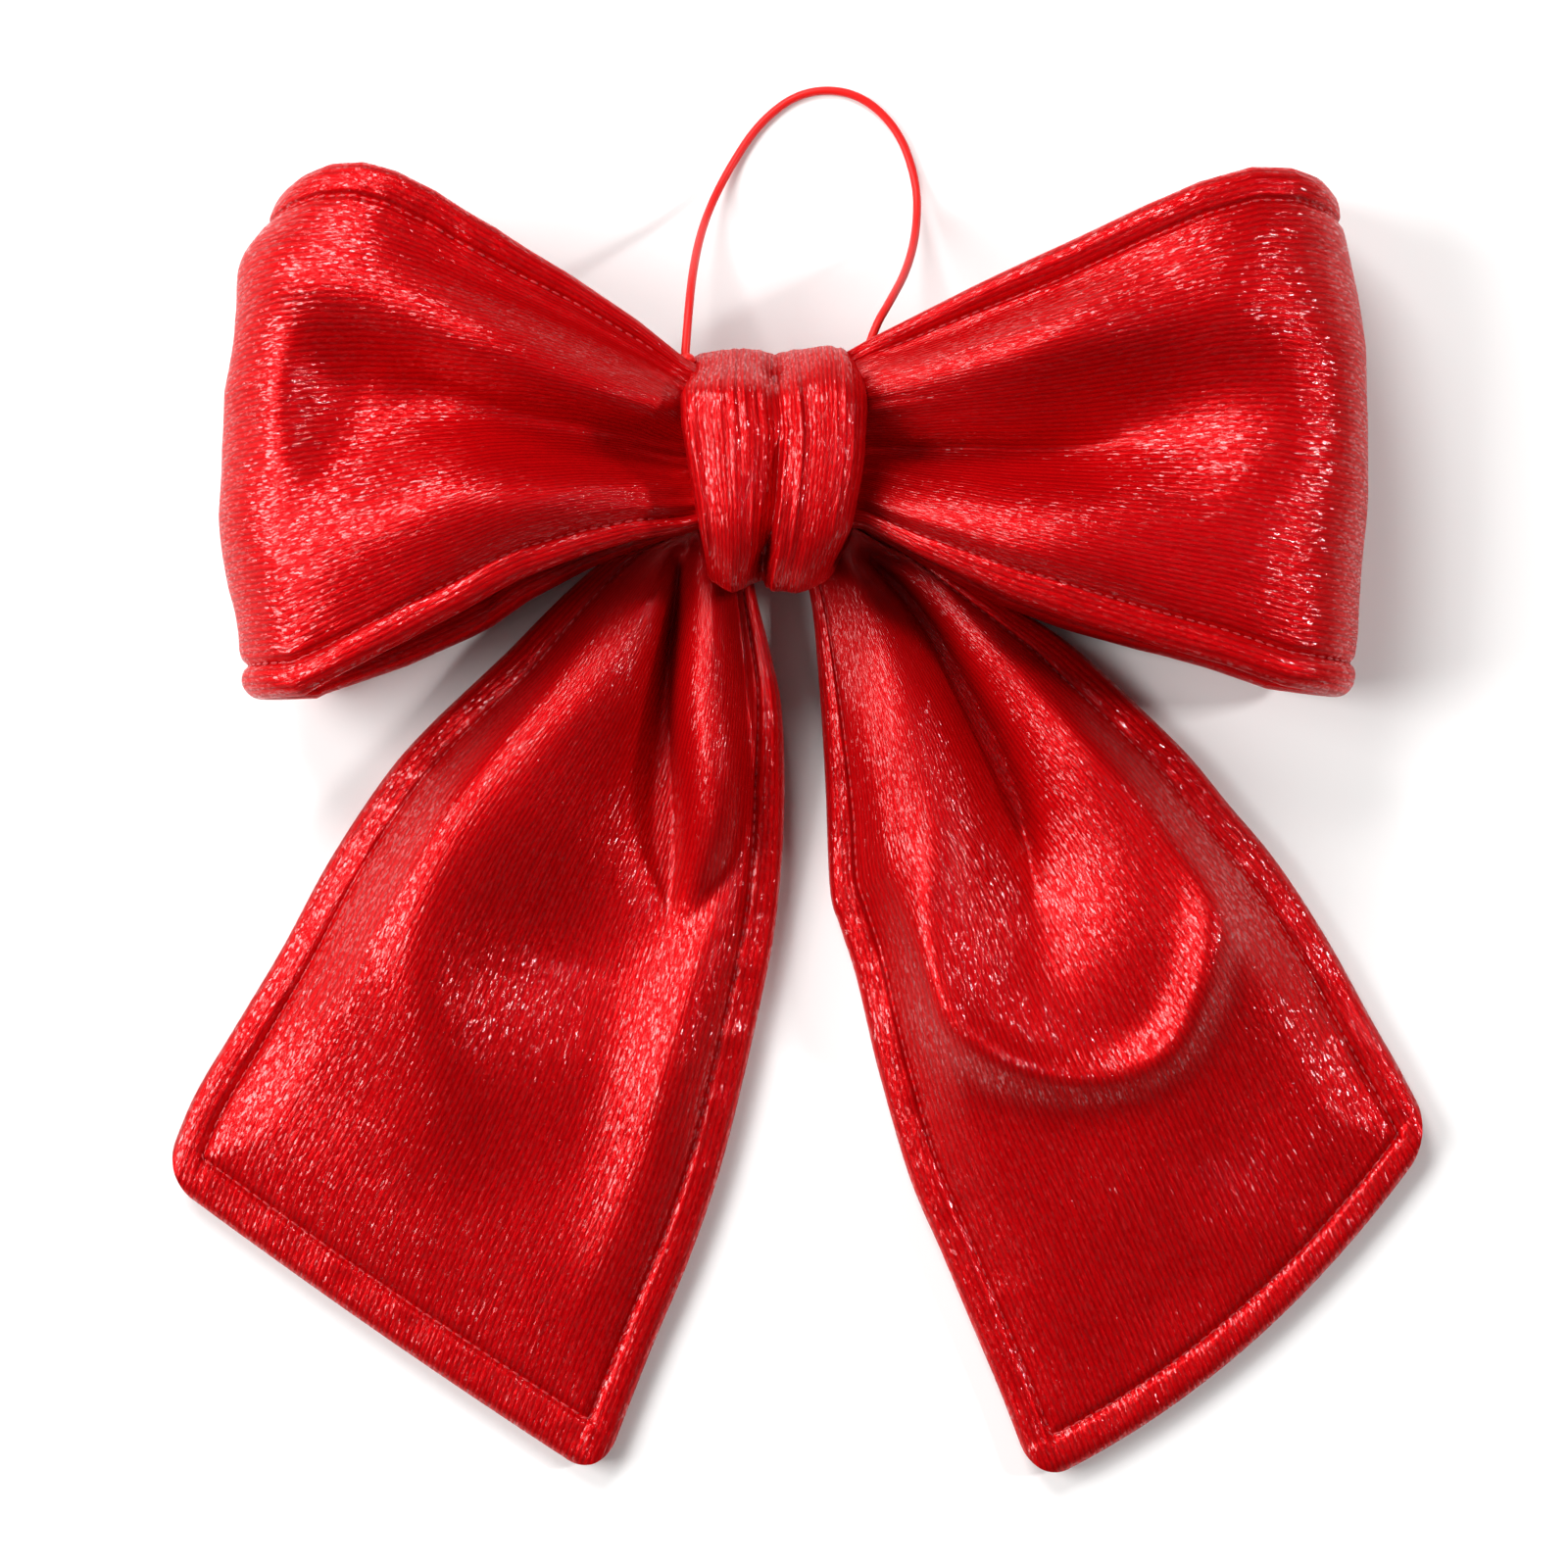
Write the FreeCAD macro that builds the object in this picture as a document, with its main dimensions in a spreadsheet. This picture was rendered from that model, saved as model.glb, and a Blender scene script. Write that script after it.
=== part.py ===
import FreeCAD, Part

import math
import os

import Sketcher

# A padded gift bow lying on its back: two loops, two tails, a centre band and a hanging cord.
# Millimetres. +Z comes out of the bow's front, +Y points to the hanging cord, +X to the right loop.
# The origin is on the flat back of the tail fold, behind the middle of the centre band.

doc = FreeCAD.newDocument("gift_bow")
sheet = doc.addObject("Spreadsheet::Sheet", "sizes")

SIZES = {
    # cloth and padding
    "cloth_thickness": 0.8,
    "thread_thickness": 0.4,
    "thread_width": 0.5,
    "hem_width": 7.0,
    # loops: a padded strip folded into a ring, seen from the side as a drop shape
    "loop_wall": 7.0,
    "left_loop_reach": 116.0,
    "right_loop_reach": 124.0,
    "loop_bight_radius": 24.0,
    "loop_hollow_radius": 1.0,
    "loop_neck_lift": 30.0,
    "loop_neck_top": 25.0,
    "loop_neck_bottom": 15.0,
    "loop_tip_top": 64.0,
    "loop_tip_bottom": 48.0,
    # centre band, wrapped round the pinched middle of the loops
    "band_width": 33.0,
    "band_length": 51.0,
    "band_depth": 36.5,
    "band_wall": 6.0,
    "band_corner": 12.0,
    "side_gap": 4.0,
    "running_gap": 0.5,
    "gather_width": 6.0,
    "gather_depth": 1.2,
    # tails: flat padded fans that turn about a pivot behind the band
    "tail_thickness": 11.0,
    "tail_pivot_side": 9.0,
    "tail_pivot_drop": 18.5,
    "tail_neck_radius": 8.0,
    "tail_mid_length": 66.0,
    "tail_mid_outer": 46.0,
    "tail_mid_inner": 35.0,
    "tail_outer_length": 162.0,
    "tail_tip_outer": 56.0,
    "tail_inner_length": 188.0,
    "tail_tip_inner": 50.0,
    "left_tail_angle": 22.8,
    "right_tail_angle": 28.8,
    "fold_width": 30.0,
    "fold_length": 20.0,
    # hanging cord
    "cord_diameter": 1.8,
    "cord_knot_radius": 1.6,
    "cord_knot_gap": 0.4,
    "cord_knot_height": 32.0,
    # hand stitches that close the band
    "stitch_count": 6,
    "stitch_pitch": 5.0,
    "stitch_length": 4.0,
    "stitch_offset": 4.0,
    "stitch_size": 0.6,
}

for row, (alias, value) in enumerate(SIZES.items(), start=1):
    sheet.set(f"A{row}", alias)
    sheet.set(f"B{row}", str(value))
    sheet.setAlias(f"B{row}", alias)
doc.recompute()


def expanded(formula):
    """A formula with its {names} turned into cells of the sheet."""
    return formula.replace("{", "sizes.").replace("}", "")


def bind(target, prop, formula):
    """Ties one property of an object to the sheet."""
    target.setExpression(prop, expanded(formula))


def number(formula):
    """What a formula gives with the sheet's present values."""
    result = sheet.evalExpression(formula.replace("{", "").replace("}", ""))
    return float(result)


# ---------------------------------------------------------------------------------------------
# Sketches, and the solids made from them

ALONG_X = (1, 0, 0)
ALONG_Y = (0, 1, 0)
ALONG_Z = (0, 0, 1)


def upright_placement():
    """Stands a sketch up: its X and Y become the bow's X and Z, and its normal -Y."""
    return FreeCAD.Placement(FreeCAD.Vector(), FreeCAD.Rotation(FreeCAD.Vector(1, 0, 0), 90))


def endwise_placement():
    """Stands a sketch up across the bow: its X and Y become the bow's Y and Z, its normal +X."""
    return FreeCAD.Placement(FreeCAD.Vector(), FreeCAD.Rotation(FreeCAD.Vector(1, 1, 1), 120))


def hold_one(sketch, kind, geometry, point, formula):
    """Fixes one coordinate of a point, measured from the sketch's origin."""
    index = sketch.addConstraint(Sketcher.Constraint(kind, -1, 1, geometry, point, number(formula)))
    bind(sketch, f"Constraints[{index}]", formula)


def hold_point(sketch, geometry, point, across, up):
    hold_one(sketch, "DistanceX", geometry, point, across)
    hold_one(sketch, "DistanceY", geometry, point, up)


def hold_radius(sketch, geometry, formula):
    index = sketch.addConstraint(Sketcher.Constraint("Radius", geometry, number(formula)))
    bind(sketch, f"Constraints[{index}]", formula)


def outline_sketch(name, corners):
    """A flat closed outline of straight lines; a corner is a pair of formulas (across, up)."""
    sketch = doc.addObject("Sketcher::SketchObject", name)
    points = [FreeCAD.Vector(number(across), number(up), 0) for across, up in corners]
    count = len(points)
    for index in range(count):
        sketch.addGeometry(Part.LineSegment(points[index], points[(index + 1) % count]))
    for index in range(count):
        following = (index + 1) % count
        sketch.addConstraint(Sketcher.Constraint("Coincident", index, 2, following, 1))
    for index, (across, up) in enumerate(corners):
        hold_point(sketch, index, 1, across, up)
    return sketch


def drop_sketch(name, neck, bight, neck_radius, bight_radius):
    """A belt round two circles, seen from the side: the section of a folded loop."""
    sketch = doc.addObject("Sketcher::SketchObject", name)
    sketch.Placement = upright_placement()
    neck_centre = FreeCAD.Vector(number(neck[0]), number(neck[1]), 0)
    bight_centre = FreeCAD.Vector(number(bight[0]), number(bight[1]), 0)
    small = number(neck_radius)
    large = number(bight_radius)
    along = bight_centre - neck_centre
    heading = math.atan2(along.y, along.x)
    turned = math.pi / 2 + math.asin((large - small) / along.Length)

    def circle(centre, radius):
        return Part.Circle(centre, FreeCAD.Vector(0, 0, 1), radius)

    neck_arc = Part.ArcOfCircle(
        circle(neck_centre, small), heading + turned, heading + 2 * math.pi - turned
    )
    bight_arc = Part.ArcOfCircle(circle(bight_centre, large), heading - turned, heading + turned)
    sketch.addGeometry(neck_arc)
    sketch.addGeometry(Part.LineSegment(neck_arc.EndPoint, bight_arc.StartPoint))
    sketch.addGeometry(bight_arc)
    sketch.addGeometry(Part.LineSegment(bight_arc.EndPoint, neck_arc.StartPoint))
    for first, second in ((0, 1), (1, 2), (2, 3), (3, 0)):
        sketch.addConstraint(Sketcher.Constraint("Tangent", first, 2, second, 1))
    hold_point(sketch, 0, 3, *neck)
    hold_point(sketch, 2, 3, *bight)
    hold_radius(sketch, 0, neck_radius)
    hold_radius(sketch, 2, bight_radius)
    return sketch


def rounded_sketch(name, half_width, bottom, top, corner):
    """A rounded rectangle across the bow, even about its middle."""
    sketch = doc.addObject("Sketcher::SketchObject", name)
    sketch.Placement = endwise_placement()
    side = number(half_width)
    low = number(bottom)
    high = number(top)
    radius = number(corner)
    centres = [
        FreeCAD.Vector(side - radius, low + radius, 0),
        FreeCAD.Vector(side - radius, high - radius, 0),
        FreeCAD.Vector(radius - side, high - radius, 0),
        FreeCAD.Vector(radius - side, low + radius, 0),
    ]
    arcs = []
    for turn, centre in enumerate(centres):
        first = (turn - 1) * math.pi / 2
        circle = Part.Circle(centre, FreeCAD.Vector(0, 0, 1), radius)
        arcs.append(Part.ArcOfCircle(circle, first, first + math.pi / 2))
    for turn in range(4):
        sketch.addGeometry(arcs[turn])
        sketch.addGeometry(Part.LineSegment(arcs[turn].EndPoint, arcs[(turn + 1) % 4].StartPoint))
    for index in range(8):
        sketch.addConstraint(Sketcher.Constraint("Tangent", index, 2, (index + 1) % 8, 1))
    inner = f"{half_width} - ({corner})"
    corners = [
        (inner, f"{bottom} + ({corner})"),
        (inner, f"{top} - ({corner})"),
        (f"-({inner})", f"{top} - ({corner})"),
        (f"-({inner})", f"{bottom} + ({corner})"),
    ]
    for turn, (across, up) in enumerate(corners):
        hold_point(sketch, 2 * turn, 3, across, up)
    hold_radius(sketch, 0, corner)
    return sketch


def push_out(name, sketch, length, direction, centred=False):
    """Extrudes a sketch along an axis of the bow."""
    solid = doc.addObject("Part::Extrusion", name)
    solid.Base = sketch
    solid.DirMode = "Custom"
    solid.Dir = FreeCAD.Vector(*direction)
    solid.Solid = True
    solid.Symmetric = centred
    bind(solid, "LengthFwd", length)
    return solid


def place(target, across, up, out):
    """Binds an object's position to three formulas."""
    for axis, formula in zip("xyz", (across, up, out)):
        bind(target, f"Placement.Base.{axis}", formula)


def box(name, size, corner):
    """A box with a formula for each side, and for each coordinate of its lowest corner."""
    solid = doc.addObject("Part::Box", name)
    for side, formula in zip(("Length", "Width", "Height"), size):
        bind(solid, side, formula)
    place(solid, *corner)
    return solid


def cut(name, base, tool):
    result = doc.addObject("Part::Cut", name)
    result.Base = base
    result.Tool = tool
    return result


def common(name, first, second):
    result = doc.addObject("Part::MultiCommon", name)
    result.Shapes = [first, second]
    return result


def group(name, members):
    result = doc.addObject("Part::Compound", name)
    result.Links = members
    return result


finished = {}


def finish(node, solid):
    """Names the object that becomes one piece of the bow."""
    solid.Label = node
    finished[node] = solid


# ---------------------------------------------------------------------------------------------
# Loops: outer cloth with turned-in edges, wadding, lining cloth and two rows of stitches each

LOOP_NECK_RADIUS = "({loop_wall} + {loop_hollow_radius})"
DROP_LENGTH = "2 * ({loop_tip_top} + {loop_tip_bottom})"
FAN_HEIGHT = "2 * {loop_bight_radius} + {loop_neck_lift}"
LOOP_START = "({band_width} / 2 + {side_gap})"


def make_loop(side, sign):
    """One loop. sign is -1 on the left and 1 on the right."""
    hinge = f"{sign} * ({LOOP_START} + {LOOP_NECK_RADIUS})"
    reach = f"{sign} * {{{side}_loop_reach}}"
    bight = f"{sign} * ({{{side}_loop_reach}} - {{loop_bight_radius}})"
    start = f"{sign} * {LOOP_START}"

    def drop(label, depth):
        """The whole drop shape, a depth below the loop's outer surface."""
        sketch = drop_sketch(
            f"{side}_{label}_section",
            (hinge, "{loop_neck_lift}"),
            (bight, "{loop_bight_radius}"),
            f"{LOOP_NECK_RADIUS} - ({depth})",
            f"{{loop_bight_radius}} - ({depth})",
        )
        return push_out(f"{side}_{label}_drop", sketch, DROP_LENGTH, ALONG_Y, centred=True)

    def fan(label, inset):
        """The loop's plan, narrow at the band, an inset inside its two edges."""
        corners = [
            (start, f"-{{loop_neck_bottom}} + ({inset})"),
            (reach, f"-{{loop_tip_bottom}} + ({inset})"),
            (reach, f"{{loop_tip_top}} - ({inset})"),
            (start, f"{{loop_neck_top}} - ({inset})"),
        ]
        sketch = outline_sketch(f"{side}_{label}_plan", corners)
        return push_out(f"{side}_{label}_fan", sketch, FAN_HEIGHT, ALONG_Z)

    surface = drop("surface", "0")
    stitch_bed = drop("stitch_bed", "{thread_thickness}")
    under_cloth = drop("under_cloth", "{cloth_thickness}")
    over_lining = drop("over_lining", "{loop_wall} - {cloth_thickness}")
    hollow = drop("hollow", "{loop_wall}")
    whole_fan = fan("whole", "0")
    padded_fan = fan("padded", "{cloth_thickness}")
    inner_fan = fan("inner", "{hem_width} + {thread_width}")
    stitched_fan = fan("stitched", "{hem_width}")

    padding = cut(f"{side}_padding_ring", under_cloth, over_lining)
    wadding = common(f"{side}_wadding", padded_fan, padding)
    finish(f"{side}_loop_wadding", wadding)

    lining = cut(f"{side}_lining_ring", over_lining, hollow)
    finish(f"{side}_loop_lining_cloth", common(f"{side}_lining", whole_fan, lining))

    thread_ring = cut(f"{side}_thread_ring", surface, stitch_bed)
    thread_rows = cut(f"{side}_thread_rows", stitched_fan, inner_fan)
    stitches = common(f"{side}_stitches", thread_rows, thread_ring)
    finish(f"{side}_loop_topstitch", stitches)

    wall = cut(f"{side}_wall_ring", surface, over_lining)
    shell = common(f"{side}_shell", whole_fan, wall)
    pan = cut(f"{side}_pan", shell, wadding)
    finish(f"{side}_loop_outer_cloth", cut(f"{side}_outer_cloth", pan, stitches))


make_loop("left", -1)
make_loop("right", 1)


# ---------------------------------------------------------------------------------------------
# Centre band: a padded strip round the pinched loops, closed behind with hand stitches

BAND_BACK = "({tail_thickness} + {running_gap})"


def band_block(name, inset, width):
    """The band's rounded outline, an inset inside its surface, pushed out across the bow."""
    sketch = rounded_sketch(
        f"{name}_section",
        f"{{band_length}} / 2 - ({inset})",
        f"{BAND_BACK} + ({inset})",
        f"{BAND_BACK} + {{band_depth}} - ({inset})",
        f"{{band_corner}} - ({inset})",
    )
    return push_out(name, sketch, width, ALONG_X, centred=True)


band_surface = band_block("band_surface", "0", "{band_width}")
band_hole = band_block("band_hole", "{band_wall}", "{band_width}")
lining_surface = band_block("lining_surface", "{band_wall} - {cloth_thickness}", "{band_width}")
PADDED_WIDTH = "{band_width} - 2 * {cloth_thickness}"
padding_surface = band_block("padding_surface", "{cloth_thickness}", PADDED_WIDTH)

finish("knot_band_lining", cut("band_lining", lining_surface, band_hole))
band_wadding = cut("band_wadding", padding_surface, lining_surface)
finish("knot_band_wadding", band_wadding)


def closing_stitch(index):
    """One stitch, let into the back of the band."""
    middle = f"({index} - ({{stitch_count}} - 1) / 2) * {{stitch_pitch}}"
    return box(
        f"closing_stitch_{index}",
        ("{stitch_size}", "{stitch_length}", "{stitch_size}"),
        (f"{middle} - {{stitch_size}} / 2", "{stitch_offset}", BAND_BACK),
    )


stitch_bars = [closing_stitch(index) for index in range(round(number("{stitch_count}")))]
closing_stitches = group("closing_stitches", stitch_bars)
finish("knot_band_closing_stitches", closing_stitches)

band_wall = cut("band_wall_ring", band_surface, lining_surface)
band_pan = cut("band_pan", band_wall, band_wadding)
finish("knot_band_cloth", cut("band_cloth", band_pan, closing_stitches))

# The loops' strip passes through the band, pinched, with a thread wound round its middle.
NECK_LENGTH = f"2 * ({LOOP_START} - {{running_gap}})"
neck_bar = band_block("neck_bar", "{band_wall}", NECK_LENGTH)
thread_outside = band_block("thread_outside", "{band_wall}", "{gather_width}")
thread_inside = band_block("thread_inside", "{band_wall} + {gather_depth}", "{gather_width}")
gathering_thread = cut("thread_winding", thread_outside, thread_inside)
finish("gathering_thread", gathering_thread)
finish("loop_neck", cut("neck", neck_bar, gathering_thread))

# The tails' strip is folded behind the band; its flat back is what the bow is stuck on with.
tail_fold = box(
    "fold",
    ("{fold_width}", "{fold_length}", BAND_BACK),
    ("-{fold_width} / 2", "-{fold_length} / 2", "0"),
)
finish("tail_fold", tail_fold)


# ---------------------------------------------------------------------------------------------
# Tails: flat fans with a round neck, made of front cloth, wadding, back cloth and stitches


def tail_sketch(side, sign):
    """The outline of one tail about its pivot. Along runs down the tail, out away from its mate."""
    angle = f"{{{side}_tail_angle}}"

    def spot(along, out):
        across = f"{sign} * ({{tail_pivot_side}} + ({along}) * sin({angle}) + ({out}) * cos({angle}))"
        up = f"-{{tail_pivot_drop}} - ({along}) * cos({angle}) + ({out}) * sin({angle})"
        return across, up

    corners = [
        spot("0", "{tail_neck_radius}"),
        spot("{tail_mid_length}", "{tail_mid_outer}"),
        spot("{tail_outer_length}", "{tail_tip_outer}"),
        spot("{tail_inner_length}", "-{tail_tip_inner}"),
        spot("{tail_mid_length}", "-{tail_mid_inner}"),
        spot("0", "-{tail_neck_radius}"),
    ]
    sketch = doc.addObject("Sketcher::SketchObject", f"{side}_tail_outline")
    points = [FreeCAD.Vector(number(across), number(up), 0) for across, up in corners]
    for first, second in zip(points, points[1:]):
        sketch.addGeometry(Part.LineSegment(first, second))
    last = len(points) - 2
    for index in range(last):
        sketch.addConstraint(Sketcher.Constraint("Coincident", index, 2, index + 1, 1))
    back = spot("-{tail_neck_radius}", "0")
    back_point = FreeCAD.Vector(number(back[0]), number(back[1]), 0)
    sketch.addGeometry(Part.Arc(points[-1], back_point, points[0]))
    neck = last + 1
    # an arc runs anticlockwise, so on the left it starts at the outline's last point
    ends = (1, 2) if sketch.Geometry[neck].StartPoint.distanceToPoint(points[-1]) < 1e-6 else (2, 1)
    sketch.addConstraint(Sketcher.Constraint("Coincident", last, 2, neck, ends[0]))
    sketch.addConstraint(Sketcher.Constraint("Coincident", neck, ends[1], 0, 1))
    for index, (across, up) in enumerate(corners[:-1]):
        hold_point(sketch, index, 1, across, up)
    hold_point(sketch, last, 2, *corners[-1])
    # the neck's ends are a whole width apart, so its centre's height is all that is left to fix
    hold_one(sketch, "DistanceY", neck, 3, "-{tail_pivot_drop}")
    return sketch


def make_tail(side, sign):
    outline = tail_sketch(side, sign)

    def slab(label, inset, height, base):
        """The outline drawn in by an inset, as a flat slab at a height above the back."""
        drawn_in = outline
        if inset:
            drawn_in = doc.addObject("Part::Offset2D", f"{side}_{label}_line")
            drawn_in.Source = outline
            drawn_in.Join = "Intersection"
            drawn_in.Fill = False
            bind(drawn_in, "Value", f"-({inset})")
        solid = push_out(f"{side}_{label}_slab", drawn_in, height, ALONG_Z)
        place(solid, "0", "0", base)
        return solid

    top_of_thread = "{tail_thickness} - {thread_thickness}"
    whole = slab("tail_front", "", "{tail_thickness} - {cloth_thickness}", "{cloth_thickness}")
    inner_height = "{tail_thickness} - 2 * {cloth_thickness}"
    wadding = slab("tail_wadding", "{cloth_thickness}", inner_height, "{cloth_thickness}")
    stitched = slab("tail_stitched", "{hem_width}", "{thread_thickness}", top_of_thread)
    inside_row = "{hem_width} + {thread_width}"
    inside = slab("tail_inside", inside_row, "{thread_thickness}", top_of_thread)

    stitches = cut(f"{side}_tail_stitches", stitched, inside)
    finish(f"{side}_tail_topstitch", stitches)
    finish(f"{side}_tail_wadding", wadding)
    pan = cut(f"{side}_tail_pan", whole, wadding)
    finish(f"{side}_tail_front_cloth", cut(f"{side}_tail_cloth", pan, stitches))
    finish(f"{side}_tail_back_cloth", slab("tail_back", "", "{cloth_thickness}", "0"))


make_tail("left", -1)
make_tail("right", 1)


# ---------------------------------------------------------------------------------------------
# Hanging cord: a slack loop from one side of the band to the other, lying down on the surface

KNOT_SIDE = "{band_width} / 2 + {side_gap} / 2"
KNOT_UP = "{band_length} / 2 - {band_wall} + {cord_knot_gap} + {cord_knot_radius}"


def cord_knot(side, sign):
    """The stopper knot at one end of the cord, tucked in between band and loop."""
    knot = doc.addObject("Part::Sphere", f"{side}_cord_knot")
    bind(knot, "Radius", "{cord_knot_radius}")
    place(knot, f"{sign} * ({KNOT_SIDE})", KNOT_UP, "{cord_knot_height}")
    return knot


cord_knots = group("cord_knots", [cord_knot("left", -1), cord_knot("right", 1)])
finish("hanging_cord_knots", cord_knots)

cord_radius = number("{cord_diameter} / 2")
knot_side = number(KNOT_SIDE)
knot_up = number(KNOT_UP)
knot_height = number("{cord_knot_height}")

# The route starts and ends in the knots. Between them the points are across, up and out.
CORD_ROUTE = [
    (-17.9, 30.0, 32.6),
    (-17.2, 38.6, 28.0),
    (-16.2, 47.0, 16.8),
    (-14.2, 55.4, 6.2),
    (-10.2, 64.4, 1.4),
    (-3.2, 75.4, 0.9),
    (6.2, 82.2, 0.9),
    (17.6, 81.8, 0.9),
    (26.4, 74.0, 0.9),
    (30.4, 62.4, 1.4),
    (30.2, 51.8, 6.4),
    (28.0, 42.6, 17.0),
    (24.2, 34.8, 28.4),
    (20.6, 28.6, 32.8),
]


def rounded_path(points):
    """Straight runs joined by the largest arcs that fit them, with each arc's radius."""
    edges = []
    radii = []
    start = points[0]
    for before, corner, after in zip(points, points[1:], points[2:]):
        inward = (before - corner).normalize()
        onward = (after - corner).normalize()
        reach = 0.45 * min(before.distanceToPoint(corner), after.distanceToPoint(corner))
        turn = math.pi - inward.getAngle(onward)
        first = corner + inward * reach
        last = corner + onward * reach
        radius = reach / math.tan(turn / 2)
        halfway = (inward + onward).normalize()
        middle = corner + halfway * (radius / math.cos(turn / 2) - radius)
        edges.append(Part.LineSegment(start, first).toShape())
        edges.append(Part.Arc(first, middle, last).toShape())
        radii.append(radius)
        start = last
    edges.append(Part.LineSegment(start, points[-1]).toShape())
    return Part.Wire(edges), radii


route = [FreeCAD.Vector(-knot_side, knot_up, knot_height)]
route += [FreeCAD.Vector(*point) for point in CORD_ROUTE]
route.append(FreeCAD.Vector(knot_side, knot_up, knot_height))
cord_path, bend_radii = rounded_path(route)
section = Part.Wire([Part.makeCircle(cord_radius, route[0], route[1] - route[0])])
cord_tube = doc.addObject("Part::Feature", "cord_tube")
cord_tube.Shape = cord_path.makePipeShell([section], True, False)
finish("hanging_cord", cut("cord", cord_tube, cord_knots))

# ---------------------------------------------------------------------------------------------
# Build, test and write

doc.recompute()

for item in doc.Objects:
    if "Invalid" in item.State or "Error" in item.State:
        raise RuntimeError(f"{item.Name} ({item.Label}) failed: {item.State}")

for node, solid in finished.items():
    shape = solid.Shape
    if shape.isNull() or not shape.isValid() or not shape.Solids:
        raise RuntimeError(f"{node} has no valid solid")

swept = cord_path.Length * math.pi * cord_radius**2
print("cord bends, mm:", " ".join(f"{radius:.1f}" for radius in bend_radii))
print(f"cord length {cord_path.Length:.1f} mm, tube {cord_tube.Shape.Volume:.1f}, swept {swept:.1f}")

os.makedirs("parts", exist_ok=True)
for node, solid in finished.items():
    solid.Shape.exportStep(f"parts/{node}.step")
print(len(finished), "pieces written")
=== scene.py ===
import math

import bpy
import numpy as np
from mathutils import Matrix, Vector


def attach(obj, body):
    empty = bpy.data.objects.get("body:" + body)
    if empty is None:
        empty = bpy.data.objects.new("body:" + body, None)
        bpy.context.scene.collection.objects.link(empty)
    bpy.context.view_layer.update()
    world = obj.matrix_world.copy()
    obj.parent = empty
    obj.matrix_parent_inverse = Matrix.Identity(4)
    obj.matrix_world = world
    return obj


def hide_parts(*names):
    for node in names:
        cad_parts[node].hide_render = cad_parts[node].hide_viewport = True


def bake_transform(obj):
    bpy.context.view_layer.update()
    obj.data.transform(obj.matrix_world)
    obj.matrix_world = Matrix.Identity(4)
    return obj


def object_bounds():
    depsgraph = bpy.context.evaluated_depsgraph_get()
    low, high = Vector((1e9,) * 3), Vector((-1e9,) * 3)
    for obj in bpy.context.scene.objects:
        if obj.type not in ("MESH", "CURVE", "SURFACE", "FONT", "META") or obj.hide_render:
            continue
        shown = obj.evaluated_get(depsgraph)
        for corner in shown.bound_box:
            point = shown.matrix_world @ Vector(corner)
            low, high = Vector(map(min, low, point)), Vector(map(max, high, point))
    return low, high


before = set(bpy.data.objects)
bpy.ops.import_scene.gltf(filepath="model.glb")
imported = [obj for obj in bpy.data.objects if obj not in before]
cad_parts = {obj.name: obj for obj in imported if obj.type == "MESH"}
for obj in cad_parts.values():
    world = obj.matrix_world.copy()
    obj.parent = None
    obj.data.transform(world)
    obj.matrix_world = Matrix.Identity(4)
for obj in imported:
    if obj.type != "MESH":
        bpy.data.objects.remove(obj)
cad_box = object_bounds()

MM = 0.001
scene = bpy.context.scene
scene.view_settings.view_transform = "Standard"

# ---------------------------------------------------------------------------------------------
# The stand: a plain pale floor that the bow lies on, a soft white room, and a camera that looks
# straight down on the bow's front with the hanging cord at the top.


def linear(hex_code):
    """An sRGB hex colour as linear RGBA."""
    parts = [int(hex_code[i : i + 2], 16) / 255 for i in (1, 3, 5)]
    return [c / 12.92 if c <= 0.04045 else ((c + 0.055) / 1.055) ** 2.4 for c in parts] + [1.0]


def add_node(tree, kind, links=(), inputs=(), **settings):
    """Adds a node. links and inputs are (input, source socket) and (input, value) pairs."""
    node = tree.nodes.new(kind)
    for name, value in settings.items():
        setattr(node, name, value)
    for name, value in dict(inputs).items():
        node.inputs[name].default_value = value
    for name, source in links:
        tree.links.new(source, node.inputs[name])
    return node


def new_material(name):
    """An empty node material and its shader tree."""
    material = bpy.data.materials.new(name)
    material.use_nodes = True
    material.node_tree.nodes.clear()
    return material, material.node_tree


def finish_material(tree, shader):
    add_node(tree, "ShaderNodeOutputMaterial", [("Surface", shader.outputs[0])])


CAMERA_HEIGHT = 1.12
# aimed a little left of and below the box's middle, so the bow sits slightly right and high
CAMERA_SHIFT = (-4.3 * MM, -1.45 * MM)
LENS = 120.7
middle = [(low + high) / 2 for low, high in zip(*cad_box)]
camera_data = bpy.data.cameras.new("camera")
camera_data.sensor_width = 36.0
camera_data.lens = LENS
camera_data.clip_end = 10.0
camera = bpy.data.objects.new("camera", camera_data)
camera.location = (middle[0] + CAMERA_SHIFT[0], middle[1] + CAMERA_SHIFT[1], CAMERA_HEIGHT)
scene.collection.objects.link(camera)
scene.camera = camera

FLOOR_HALF = 3.0
floor_mesh = bpy.data.meshes.new("floor")
floor_mesh.from_pydata(
    [(x * FLOOR_HALF, y * FLOOR_HALF, 0) for x, y in ((-1, -1), (1, -1), (1, 1), (-1, 1))],
    [],
    [(0, 1, 2, 3)],
)
floor = bpy.data.objects.new("floor", floor_mesh)
scene.collection.objects.link(floor)
# matt white card: even and almost without shine, so only the bow's soft shadow shows on it
floor_material, tree = new_material("matt_white_card")
shader = add_node(
    tree,
    "ShaderNodeBsdfPrincipled",
    inputs={"Base Color": linear("#F6F5F4"), "Roughness": 0.9, "Specular IOR Level": 0.1},
)
finish_material(tree, shader)
floor_mesh.materials.append(floor_material)

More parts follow.
